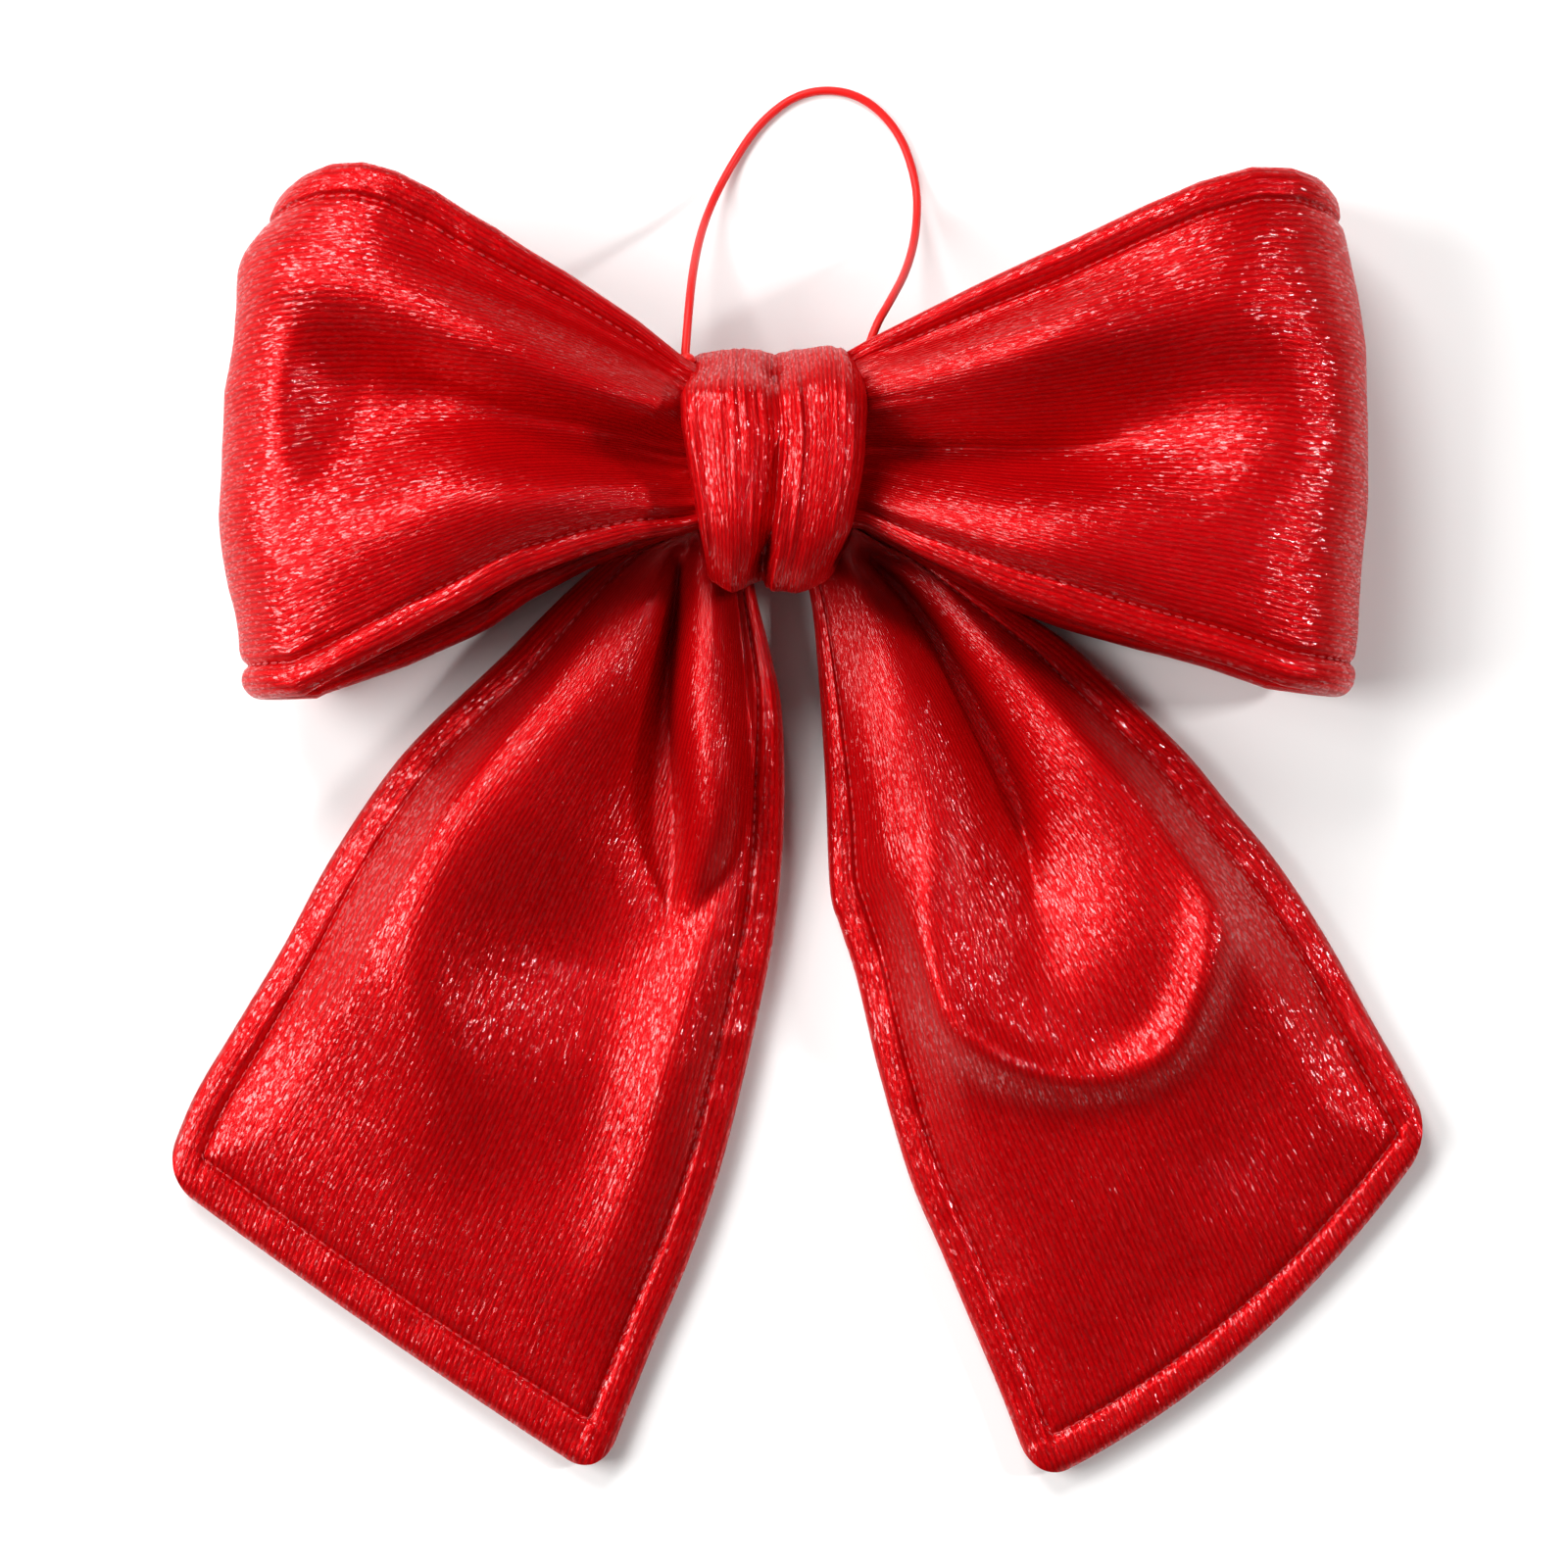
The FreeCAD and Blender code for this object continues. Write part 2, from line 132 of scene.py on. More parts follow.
# the room: dim all round, with one broad pale side that the foil mirrors as a soft sheen
PALE_SIDE = (-0.68, 0.4, 0.61)
world = bpy.data.worlds.new("room")
scene.world = world
world.use_nodes = True
room = world.node_tree
direction = add_node(room, "ShaderNodeTexCoord")
towards = add_node(
    room,
    "ShaderNodeVectorMath",
    [(0, direction.outputs["Generated"])],
    {1: PALE_SIDE},
    operation="DOT_PRODUCT",
)
strength = add_node(
    room,
    "ShaderNodeMapRange",
    [("Value", towards.outputs["Value"])],
    {"From Min": 0.5, "From Max": 1.0, "To Min": 0.07, "To Max": 0.45},
)
background = room.nodes["Background"]
background.inputs["Color"].default_value = linear("#FFFFFF")
room.links.new(strength.outputs[0], background.inputs["Strength"])


AIM = (0.0, -0.06, 0.0)


def soft_light(name, place, size, power):
    """A square soft light that points at the middle of the bow."""
    data = bpy.data.lights.new(name, "AREA")
    data.shape = "SQUARE"
    data.size = size
    data.energy = power
    light = bpy.data.objects.new(name, data)
    light.location = place
    light.rotation_euler = (Vector(AIM) - Vector(place)).to_track_quat("-Z", "Y").to_euler()
    scene.collection.objects.link(light)


soft_light("left_window", (-1.05, 0.05, 0.85), 0.8, 19.0)
soft_light("top_window", (-0.45, 0.95, 1.05), 0.6, 16.0)
soft_light("lamp", (1.0, 0.05, 0.85), 0.14, 7.0)

# ---------------------------------------------------------------------------------------------
# Hanging cord: a slack loop of thin satin cord, limp enough to drop from its two stopper knots
# beside the band and lie on the floor.

CORD_WIDTH = 1.8 * MM
CORD_ROUTE = [
    (-18.5, 21.5, 32.0),
    (-17.9, 30.0, 32.6),
    (-17.2, 38.6, 28.0),
    (-16.2, 47.0, 16.8),
    (-14.2, 55.4, 6.2),
    (-10.2, 64.4, 1.4),
    (-3.2, 75.4, 0.9),
    (6.2, 82.2, 0.9),
    (17.6, 81.8, 0.9),
    (26.4, 74.0, 0.9),
    (30.4, 62.4, 1.4),
    (30.2, 51.8, 6.4),
    (28.0, 42.6, 17.0),
    (24.2, 34.8, 28.4),
    (20.6, 28.6, 32.8),
    (18.5, 21.5, 32.0),
]
cord_data = bpy.data.curves.new("hanging_cord_satin", "CURVE")
cord_data.dimensions = "3D"
cord_line = cord_data.splines.new("NURBS")
cord_line.points.add(len(CORD_ROUTE) - 1)
for point, place in zip(cord_line.points, CORD_ROUTE):
    point.co = (*(c * MM for c in place), 1.0)
cord_line.order_u = 3
cord_line.use_endpoint_u = True
cord_line.resolution_u = 12
cord_data.bevel_depth = CORD_WIDTH / 2
cord_data.bevel_resolution = 4
cord_data.use_fill_caps = True
cord = bpy.data.objects.new("hanging_cord_satin", cord_data)
scene.collection.objects.link(cord)

# twisted satin cord: smooth, brighter and more orange than the cloth, with a soft even sheen
cord_material, tree = new_material("twisted_satin_cord")
shader = add_node(
    tree,
    "ShaderNodeBsdfPrincipled",
    inputs={
        "Base Color": linear("#DA0E08"),
        "Roughness": 0.45,
        "Specular IOR Level": 0.3,
        "Sheen Weight": 0.1,
    },
)
finish_material(tree, shader)
cord_data.materials.append(cord_material)

# ---------------------------------------------------------------------------------------------
# Stopper knots: each end of the cord is tied in an overhand knot, which keeps it from slipping
# out from under the band. They sit between the band and the loops' edges, almost hidden.

KNOT_TURNS = 96
KNOT_SIDES = 12
KNOT_STRAND = 1.05
KNOT_SPREAD = 0.465
KNOT_DEPTH = 0.95
knot_vertices, knot_faces = [], []
for knot_place in (CORD_ROUTE[0], CORD_ROUTE[-1]):
    t = np.linspace(0, 2 * math.pi, KNOT_TURNS, endpoint=False)
    # a trefoil, which is an overhand knot pulled tight
    path = np.stack(
        [
            KNOT_SPREAD * (np.sin(t) + 2 * np.sin(2 * t)),
            KNOT_SPREAD * (np.cos(t) - 2 * np.cos(2 * t)),
            -KNOT_DEPTH * np.sin(3 * t),
        ],
        axis=1,
    )
    tangent = np.roll(path, -1, axis=0) - np.roll(path, 1, axis=0)
    tangent /= np.linalg.norm(tangent, axis=1, keepdims=True)
    across = np.cross(tangent, path + np.array([0, 0, 3.0]))
    across /= np.linalg.norm(across, axis=1, keepdims=True)
    over = np.cross(tangent, across)
    angle = np.linspace(0, 2 * math.pi, KNOT_SIDES, endpoint=False)
    rings = path[:, None] + KNOT_STRAND * (
        across[:, None] * np.cos(angle)[None, :, None] + over[:, None] * np.sin(angle)[None, :, None]
    )
    start = len(knot_vertices)
    knot_vertices.extend(((rings.reshape(-1, 3) + knot_place) * MM).tolist())
    for i in range(KNOT_TURNS):
        for j in range(KNOT_SIDES):
            a, b = i * KNOT_SIDES, ((i + 1) % KNOT_TURNS) * KNOT_SIDES
            k = (j + 1) % KNOT_SIDES
            knot_faces.append([start + a + j, start + a + k, start + b + k, start + b + j])
knot_mesh = bpy.data.meshes.new("cord_stopper_knots")
knot_mesh.from_pydata(knot_vertices, [], knot_faces)
knot_mesh.shade_smooth()
knot_mesh.materials.append(cord_material)
stopper_knots = bpy.data.objects.new("cord_stopper_knots", knot_mesh)
scene.collection.objects.link(stopper_knots)
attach(cord, "hanger")
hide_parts("hanging_cord")
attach(stopper_knots, "hanger")
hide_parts("hanging_cord_knots")

# ---------------------------------------------------------------------------------------------
# Cloth: a ribbed knit with a metallic foil finish. The ribs run along each strip; the foil is
# broken over the stitches, so lights show as rows of fine glints over a soft satin glow.

RIB_PITCH = 1.3
GLINT_LONG = 0.95
GLINT_WIDE = 0.32


# the red of the rib tops, and a darker red painted into the grooves between them as shade
RIB_COLOUR = "#C00409"
GROOVE_SHADE_COLOUR = "#A00307"


def rib_cloth(name):
    """Foiled rib knit: deep red ribs with a satin glow, and fine bright glints where lights mirror."""
    material, tree = new_material(name)
    uv = add_node(tree, "ShaderNodeUVMap", uv_map="strip")
    parts = add_node(tree, "ShaderNodeSeparateXYZ", [("Vector", uv.outputs["UV"])])
    # the ribs, rounded ridges side by side, none quite straight
    stretched = add_node(
        tree, "ShaderNodeMapping", [("Vector", uv.outputs["UV"])], {"Scale": (0.05, 0.9, 1.0)}
    )
    wander = add_node(
        tree, "ShaderNodeTexNoise", [("Vector", stretched.outputs[0])], {"Scale": 1.0, "Detail": 2.0}
    )
    place = add_node(
        tree,
        "ShaderNodeMath",
        [(0, wander.outputs["Fac"]), (2, parts.outputs["Y"])],
        {1: 1.1},
        operation="MULTIPLY_ADD",
    )
    turn = add_node(
        tree,
        "ShaderNodeMath",
        [(0, place.outputs[0])],
        {1: 2 * math.pi / RIB_PITCH},
        operation="MULTIPLY",
    )
    rib = add_node(tree, "ShaderNodeMath", [(0, turn.outputs[0])], operation="SINE")
    # the knit's stitches, much finer, drawn out along the strip
    thread_space = add_node(
        tree, "ShaderNodeMapping", [("Vector", uv.outputs["UV"])], {"Scale": (0.9, 2.6, 1.0)}
    )
    thread = add_node(
        tree,
        "ShaderNodeTexNoise",
        [("Vector", thread_space.outputs[0])],
        {"Scale": 1.0, "Detail": 3.0, "Roughness": 0.6},
    )
    height = add_node(
        tree,
        "ShaderNodeMath",
        [(0, rib.outputs[0]), (2, thread.outputs["Fac"])],
        {1: 0.22},
        operation="MULTIPLY_ADD",
    )
    bump = add_node(
        tree,
        "ShaderNodeBump",
        [("Height", height.outputs[0])],
        {"Strength": 0.45, "Distance": 0.25 * MM},
    )
    # foil facets: each small cell leans its own way
    cell_space = add_node(
        tree,
        "ShaderNodeMapping",
        [("Vector", uv.outputs["UV"])],
        {"Scale": (1.0 / GLINT_LONG, 1.0 / GLINT_WIDE, 1.0)},
    )
    cells = add_node(
        tree, "ShaderNodeTexVoronoi", [("Vector", cell_space.outputs[0])], {"Scale": 1.0}
    )
    lean = add_node(
        tree,
        "ShaderNodeVectorMath",
        [(0, cells.outputs["Color"])],
        {1: (0.5, 0.5, 0.5)},
        operation="SUBTRACT",
    )
    scaled = add_node(
        tree, "ShaderNodeVectorMath", [(0, lean.outputs[0])], {"Scale": 0.36}, operation="SCALE"
    )
    tipped = add_node(
        tree,
        "ShaderNodeVectorMath",
        [(0, bump.outputs["Normal"]), (1, scaled.outputs[0])],
        operation="ADD",
    )
    facet = add_node(
        tree, "ShaderNodeVectorMath", [(0, tipped.outputs[0])], operation="NORMALIZE"
    )
    slight = add_node(
        tree, "ShaderNodeVectorMath", [(0, lean.outputs[0])], {"Scale": 0.2}, operation="SCALE"
    )
    leaned = add_node(
        tree,
        "ShaderNodeVectorMath",
        [(0, bump.outputs["Normal"]), (1, slight.outputs[0])],
        operation="ADD",
    )
    grain = add_node(
        tree, "ShaderNodeVectorMath", [(0, leaned.outputs[0])], operation="NORMALIZE"
    )
    # only some cells still carry whole, mirror-like foil; the rest are worn dull
    picked = add_node(tree, "ShaderNodeSeparateXYZ", [("Vector", cells.outputs["Color"])])
    foil = add_node(
        tree,
        "ShaderNodeMapRange",
        [("Value", picked.outputs["Z"])],
        {"From Min": 0.55, "From Max": 0.97, "To Min": 0.06, "To Max": 1.0},
    )
    # colour: painted shade, a darker red in the grooves between the ribs
    groove_shade = add_node(
        tree,
        "ShaderNodeMapRange",
        [("Value", rib.outputs[0])],
        {"From Min": -1.0, "From Max": 0.4},
    )
    colour = add_node(
        tree,
        "ShaderNodeMix",
        [("Factor", groove_shade.outputs[0])],
        {"A": linear(GROOVE_SHADE_COLOUR), "B": linear(RIB_COLOUR)},
        data_type="RGBA",
    )
    shader = add_node(
        tree,
        "ShaderNodeBsdfPrincipled",
        [
            ("Base Color", colour.outputs["Result"]),
            ("Normal", grain.outputs[0]),
            ("Coat Weight", foil.outputs[0]),
            ("Coat Normal", facet.outputs[0]),
        ],
        {
            "Metallic": 0.42,
            "Roughness": 0.43,
            "Specular IOR Level": 0.2,
            "Specular Tint": linear("#FF5A66"),
            "Coat Roughness": 0.09,
            "Coat IOR": 1.65,
        },
    )
    finish_material(tree, shader)
    return material


foil_cloth = rib_cloth("foiled_rib_knit")


def curve_through(points, count):
    """Evenly spaced points on a smooth curve through the given ones (any number of columns)."""
    points = np.array(points, float)
    before = 2 * points[0] - points[1]
    after = 2 * points[-1] - points[-2]
    knots = np.vstack([before, points, after])
    fine = []
    steps = np.linspace(0, 1, 24, endpoint=False)[:, None]
    for p0, p1, p2, p3 in zip(knots, knots[1:], knots[2:], knots[3:]):
        fine.append(
            0.5
            * (
                2 * p1
                + (p2 - p0) * steps
                + (2 * p0 - 5 * p1 + 4 * p2 - p3) * steps**2
                + (3 * p1 - p0 - 3 * p2 + p3) * steps**3
            )
        )
    fine = np.vstack(fine + [points[-1:]])
    gaps = np.linalg.norm(np.diff(fine[:, :2] if fine.shape[1] > 2 else fine, axis=0), axis=1)
    travelled = np.concatenate([[0], np.cumsum(gaps)])
    wanted = np.linspace(0, travelled[-1], count)
    return np.stack([np.interp(wanted, travelled, column) for column in fine.T], axis=1)


def beside(x, y, points, softness):
    """Distance from each surface point to a smooth line, and the line's height and width there.

    points are (x, y, height, width); softness rounds off the inside of the line's bends.
    """
    line = curve_through(points, 48)
    gap = np.hypot(*(line[1] - line[0])[:2])
    square = (x[..., None] - line[:, 0]) ** 2 + (y[..., None] - line[:, 1]) ** 2
    nearest = square.min(axis=-1)
    share = np.exp(-(square - nearest[..., None]) / softness**2)
    total = share.sum(axis=-1)
    spare = softness**2 * np.log(total * gap / (softness * math.sqrt(math.pi)))
    distance = np.sqrt(np.maximum(nearest - spare, 0))
    return distance, share @ line[:, 2] / total, share @ line[:, 3] / total


def roll(x, y, points, softness=5.0):
    """A soft round ridge along a line; negative heights make a hollow."""
    distance, height, width = beside(x, y, points, softness)
    return height * np.exp(-((distance / width) ** 2))


def tube(x, y, points):
    """A round-topped ridge with steep sides along a line."""
    distance, height, width = beside(x, y, points, 2.5)
    return height * (1 - np.clip(distance / width, 0, 1) ** 2) ** 0.6


def crease(x, y, points):
    """A sharp-bottomed valley along a line."""
    distance, depth, width = beside(x, y, points, 2.0)
    return -depth * np.exp(-distance / width)


def tuck(x, y, points, gentle):
    """A valley under an overhanging fold: a steep wall above its line, a gentle slope below."""
    distance, depth, width = beside(x, y, points, 2.0)
    line = curve_through(points, 48)
    line = line[np.argsort(line[:, 0])]
    above = y > np.interp(x, line[:, 0], line[:, 1])
    wall = np.exp(-distance / width)
    slope = np.exp(-((distance / gentle) ** 2))
    return -depth * np.where(above, wall, slope)


def dent(x, y, centre, radii, depth, turn=0.0):
    """A round hollow, or a mound when the depth is negative."""
    c, s = math.cos(math.radians(turn)), math.sin(math.radians(turn))
    dx, dy = x - centre[0], y - centre[1]
    return -depth * np.exp(-(((c * dx + s * dy) / radii[0]) ** 2) - ((c * dy - s * dx) / radii[1]) ** 2)


def soft_top(softness, *heights):
    """The highest of several surfaces, with their meeting lines a little rounded."""
    return softness * np.log(sum(np.exp(h / softness) for h in heights))


def ruffle(x, y, size, seed):
    """Slow random unevenness between about -1 and 1, its bumps about size across."""
    rng = np.random.default_rng(seed)
    total = np.zeros(x.shape)
    for _ in range(9):
        angle, phase = rng.uniform(0, 2 * math.pi, 2)
        wave = 2 * math.pi / (size * rng.uniform(1.4, 2.8))
        total += np.sin(wave * (x * math.cos(angle) + y * math.sin(angle)) + phase)
    return total / 4


HEM = 7.0
PAD_HALF = 3.3
STITCH_PITCH = 2.5


def smooth_step(value, low, high):
    """Rises smoothly from 0 at low to 1 at high."""
    t = np.clip((value - low) / (high - low), 0, 1)
    return t * t * (3 - 2 * t)


# distances in from an edge, closest where it rounds over and beside the stitches
EDGE_PLACES = np.array(
    [0, 0.12, 0.4, 0.85, 1.4, 2.1, 2.9, 3.8, 4.7, 5.5, 6.1, 6.5, 6.8, 7.0, 7.2, 7.5, 7.9, 8.5, 9.3]
    + [10.3, 11.5]
)
STITCH_PLACE = 13
FIELD_STEP = 1.2


def cloth_places(width):
    """Distances across a flat strip, close together at the edges and hems, else evenly spaced."""
    margin = EDGE_PLACES[-1]
    count = int(round((width - 2 * margin) / FIELD_STEP))
    inner = np.linspace(margin, width - margin, count + 1)[1:-1]
    return np.concatenate([EDGE_PLACES, inner, (width - EDGE_PLACES)[::-1]])


def rounded_edge(distance, radius=3.6):
    """Share of full thickness at a distance from a soft rolled edge."""
    t = 1 - np.clip(distance / radius, 0, 1)
    return np.sqrt(np.clip(1 - t * t, 0, 1))


def hem_groove(distance, along):
    """How far the top-stitching pulls the cloth in beside the hem, deepest at each stitch."""
    puckers = 0.5 + 0.5 * np.cos(2 * math.pi * along / STITCH_PITCH)
    tight = (0.75 + 0.3 * puckers) * np.exp(-(((distance - HEM) / 0.8) ** 2))
    return tight + 0.75 * np.exp(-np.abs(distance - HEM) / 2.8)


def padded_shell(name, middle, outward, front, back, uv, flip):
    """Closes a padded strip: two faces offset from its middle, sharing their outer border."""
    rows, columns = middle.shape[:2]
    upper = middle + outward * front[..., None]
    lower = middle - outward * back[..., None]
    upper_index = np.arange(rows * columns).reshape(rows, columns)
    inside = np.zeros((rows, columns), bool)
    inside[1:-1, 1:-1] = True
    lower_index = upper_index.copy()
    lower_index[inside] = rows * columns + np.arange(inside.sum())
    vertices = np.vstack([upper.reshape(-1, 3), lower[inside]]) * MM

    def quads(index):
        corners = [index[:-1, :-1], index[1:, :-1], index[1:, 1:], index[:-1, 1:]]
        return np.stack(corners, axis=-1).reshape(-1, 4)

    top, bottom = quads(upper_index), quads(lower_index)
    if flip:
        top = top[:, ::-1]
    else:
        bottom = bottom[:, ::-1]
    mesh = bpy.data.meshes.new(name)
    mesh.from_pydata(vertices.tolist(), [], np.vstack([top, bottom]).tolist())
    # a vertex of the under face shows the same cloth coordinates as the one above it
    above = np.concatenate([np.arange(rows * columns), upper_index[inside]])
    corner_vertex = np.zeros(len(mesh.loops), int)
    mesh.loops.foreach_get("vertex_index", corner_vertex)
    layer = mesh.uv_layers.new(name="strip")
    layer.data.foreach_set("uv", uv.reshape(-1, 2)[above[corner_vertex]].reshape(-1))
    mesh.shade_smooth()
    mesh.update()
    piece = bpy.data.objects.new(name, mesh)
    scene.collection.objects.link(piece)
    return piece, upper


# ---------------------------------------------------------------------------------------------
# Tails: two padded strips of the cloth, bagged out and top-stitched 7 mm inside three edges.
# They spring from the fold behind the band, in deep pleats that open out towards the ends.

TAIL_CLOTH = 112.0
TAIL_STATIONS = 220
TAIL_FIELD_ROWS = 175
CORNER_ROUND = 9.0
FLOOR_LIFT = 3.5


def square_to_round(p, q, radius):
    """Distances to two edges, moved so that the corner between them is rounded."""
    inside = (p < radius) & (q < radius)
    P = np.clip(radius - p, 0, radius) / radius
    Q = np.clip(radius - q, 0, radius) / radius
    return (
        np.where(inside, radius - radius * P * np.sqrt(1 - Q * Q / 2), p),
        np.where(inside, radius - radius * Q * np.sqrt(1 - P * P / 2), q),
    )


def across_strip(c, cloth_width, width, hem_now):
    """Where a point c across the flat cloth lies once the strip is gathered to a width."""
    field = (c - HEM) / (cloth_width - 2 * HEM)
    return np.where(
        c < HEM,
        c / HEM * hem_now,
        np.where(
            c > cloth_width - HEM,
            width - (cloth_width - c) / HEM * hem_now,
            hem_now + field * (width - 2 * hem_now),
        ),
    )


def tail_piece(name, outer_edge, inner_edge, tip_hem, bow, relief, flip, seed):
    """outer_edge and inner_edge give the outline; bow rounds the tip; relief adds the folds."""
    outer = curve_through(outer_edge, TAIL_STATIONS)
    inner = curve_through(inner_edge, TAIL_STATIONS)
    length = sum(np.linalg.norm(np.diff(e, axis=0), axis=1).sum() for e in (outer, inner)) / 2
    tip_rows = EDGE_PLACES * tip_hem / HEM
    field_rows = np.linspace(tip_rows[-1] + FIELD_STEP, length - 3.5, TAIL_FIELD_ROWS)
    from_tip = np.concatenate([tip_rows, field_rows, length - EDGE_PLACES[6::-1]])[::-1]
    cloth = cloth_places(TAIL_CLOTH)
    q, c = np.meshgrid(from_tip, cloth, indexing="ij")
    from_side = np.minimum(c, TAIL_CLOTH - c)
    rounded_side, rounded_tip = square_to_round(from_side, q, CORNER_ROUND)
    c = np.where(c < TAIL_CLOTH / 2, rounded_side, TAIL_CLOTH - rounded_side)
    q = rounded_tip
    share = 1 - q / length
    station = np.linspace(0, 1, TAIL_STATIONS)
    first, second = (
        np.stack([np.interp(share, station, column) for column in edge.T], axis=-1)
        for edge in (outer, inner)
    )
    width = np.linalg.norm(second - first, axis=-1)
    hem_now = HEM * np.clip(0.25 + 0.75 * (width - 12) / 55, 0.25, 1)
    across = across_strip(c, TAIL_CLOTH, width, hem_now)
    flat = first + (second - first) * (across / width)[..., None]
    # the tip's hem bows outwards between its corners
    downward = outer[-1] + inner[-1] - outer[-30] - inner[-30]
    downward = downward / np.linalg.norm(downward)
    bulge = bow * 4 * across / width * (1 - across / width) * (1 - smooth_step(q, 8, 60))
    flat = flat + downward * bulge[..., None]
    x, y = flat[..., 0], flat[..., 1]
    side = np.minimum(c, TAIL_CLOTH - c)
    # the hems lie down on the table once clear of the pleats; the middle stays up
    settle = (1 - smooth_step(side, 1, 20)) * smooth_step(length - q, 30, 85)
    settle = np.maximum(settle, 1 - smooth_step(q, 1, 26))
    z = FLOOR_LIFT + relief(x, y) * (1 - 0.9 * settle)
    z = z + 0.5 * ruffle(x, y, 16, seed) * smooth_step(np.minimum(side, q), 6, 20)
    z = z + 0.35 * ruffle(x, y, 5, seed + 1) * np.exp(-np.abs(np.minimum(side, q) - HEM) / 3)
    z = np.maximum(z, FLOOR_LIFT - 0.1)
    middle_surface = np.stack([x, y, z], axis=-1)
    half = PAD_HALF * np.minimum(rounded_edge(side), rounded_edge(q))
    half = half * rounded_edge(length - q, 3.0)
    side_groove = hem_groove(side, length - q) * smooth_step(q, tip_hem - 1.0, tip_hem + 0.5)
    tip_groove = hem_groove(q + HEM - tip_hem, c) * smooth_step(side, HEM - 1.0, HEM + 0.5)
    groove = np.maximum(side_groove, tip_groove)
    slim = 0.55 + 0.45 * smooth_step(width, 15, 60)
    front = np.maximum(half - np.minimum(groove, half * 0.75), 0) * slim
    back = np.maximum(half - np.minimum(0.7 * groove, half * 0.75), 0) * slim
    uv = np.stack([length - q, c], axis=-1)
    piece, upper = padded_shell(name, middle_surface, np.array([0, 0, 1.0]), front, back, uv, flip)
    piece.data.materials.append(foil_cloth)
    # the stitch line runs down one side, across the tip and up the other side
    tip_row = len(from_tip) - 1 - STITCH_PLACE
    right_side = upper.shape[1] - 1 - STITCH_PLACE
    line = np.vstack(
        [
            upper[12:tip_row, STITCH_PLACE],
            upper[tip_row, STITCH_PLACE : right_side + 1],
            upper[12:tip_row, right_side][::-1],
        ]
    )
    return piece, [line]


LEFT_TAIL_OUTER = [
    (-15, -9), (-23, -12), (-33, -16), (-44, -25), (-57, -38), (-73.5, -53.5), (-83, -64.5),
    (-94.5, -82), (-104.5, -100.5), (-115, -118), (-123.5, -132.5), (-130, -149),
]
LEFT_TAIL_INNER = [
    (-3, -12), (-4.3, -22.5), (-1, -37), (1.5, -49), (2.2, -65.5), (1.6, -82), (0, -97),
    (-2.5, -110), (-7, -130), (-12, -149), (-18.5, -167.5), (-26.5, -186.5), (-37, -213.5),
]


def left_tail_relief(x, y):
    # a broad dome on the outer side, a narrow tucked pleat, and a roll at the inner edge
    dome = roll(x, y, [(-20, -18, 10, 9), (-36, -42, 18, 15), (-56, -68, 19, 23), (-76, -98, 17, 29),
                       (-72, -128, 12, 31), (-70, -155, 5, 32)])
    pleat = tube(x, y, [(-14, -16, 12, 5), (-14, -45, 19, 8.5), (-13, -72, 17, 8.5),
                        (-18.5, -92, 4, 3.5)])
    inner = roll(x, y, [(-5, -20, 8, 5), (-2, -50, 10, 6), (-4, -85, 9, 9), (-16, -125, 10, 18),
                        (-28, -168, 5, 18)])
    z = soft_top(2.0, dome, pleat, inner)
    z = z + crease(x, y, [(-20, -18, 6, 1.8), (-23.3, -48, 12, 2.2), (-23.5, -72, 10, 3),
                          (-22, -95, 1, 4)])
    # the dome has a fuller rim, and falls away evenly from it towards the inner edge
    z = z + roll(x, y, [(-46, -50, 1, 8), (-62, -68, 2, 10), (-75, -95, 3, 11), (-70, -124, 3, 11),
                        (-60, -144, 0, 12)])
    return z


RIGHT_TAIL_OUTER = [
    (16, -9), (23, -12.5), (32, -16.5), (44, -24), (52, -29), (64.5, -37.5), (85.5, -57), (96.5, -70),
    (106.5, -82), (117, -98), (127, -116), (133, -126.5), (140, -140),
]
RIGHT_TAIL_INNER = [
    (3, -12), (7.5, -25.5), (9.5, -45), (10.8, -65.5), (11.8, -88), (14, -96), (17.5, -107),
    (22, -126), (28.7, -149), (35.5, -165), (42, -180.5), (48.5, -196), (55.5, -214.5),
]


def right_tail_relief(x, y):
    # two rolls with a deep valley between them, the outer one broader
    first = roll(x, y, [(15, -18, 8, 7), (25, -44, 15, 14), (32, -70, 15, 16), (37, -95, 11, 15),
                        (42, -115, 7, 14)])
    second = roll(x, y, [(30, -20, 7, 7), (48, -39, 12.5, 13), (64, -56, 14, 17), (78, -72, 12, 22),
                         (92, -92, 10, 24), (104, -112, 6, 24)])
    z = soft_top(1.0, first, second)
    z = z + crease(x, y, [(20, -18, 6, 1.8), (31, -30, 11, 2.2), (41, -48, 16, 2.6), (50, -67, 15, 3),
                          (54, -82, 5, 4), (55, -92, 0, 5)])
    # the lower part slopes down to the tip
    z = z + roll(x, y, [(58, -118, 13, 42), (72, -150, 7, 44), (84, -180, 1, 40)])
    # the valley opens into a shallow bowl with a crescent rim, beyond which the cloth falls away
    z = z + dent(x, y, (62, -98), (33, 29), -5)
    z = z + roll(x, y, [(30, -84, 2, 5), (32, -102, 4, 5), (39, -118, 5, 5), (54, -126, 5, 5),
                        (70, -127, 5, 5), (83, -121, 5, 5), (89, -108, 5, 5), (92, -92, 4, 6),
                        (90, -76, 1, 8)])
    z = z + dent(x, y, (52, -97), (19, 20), 6)
    return z


# ---------------------------------------------------------------------------------------------
# Loops: one padded strip on each side, top-stitched along both edges, brought round in a ring
# and pinched at the band. The bight springs open; the front ply falls into one deep valley.

LOOP_CLOTH = 112.0
LOOP_ROWS = 260
BAND_REACH = 14
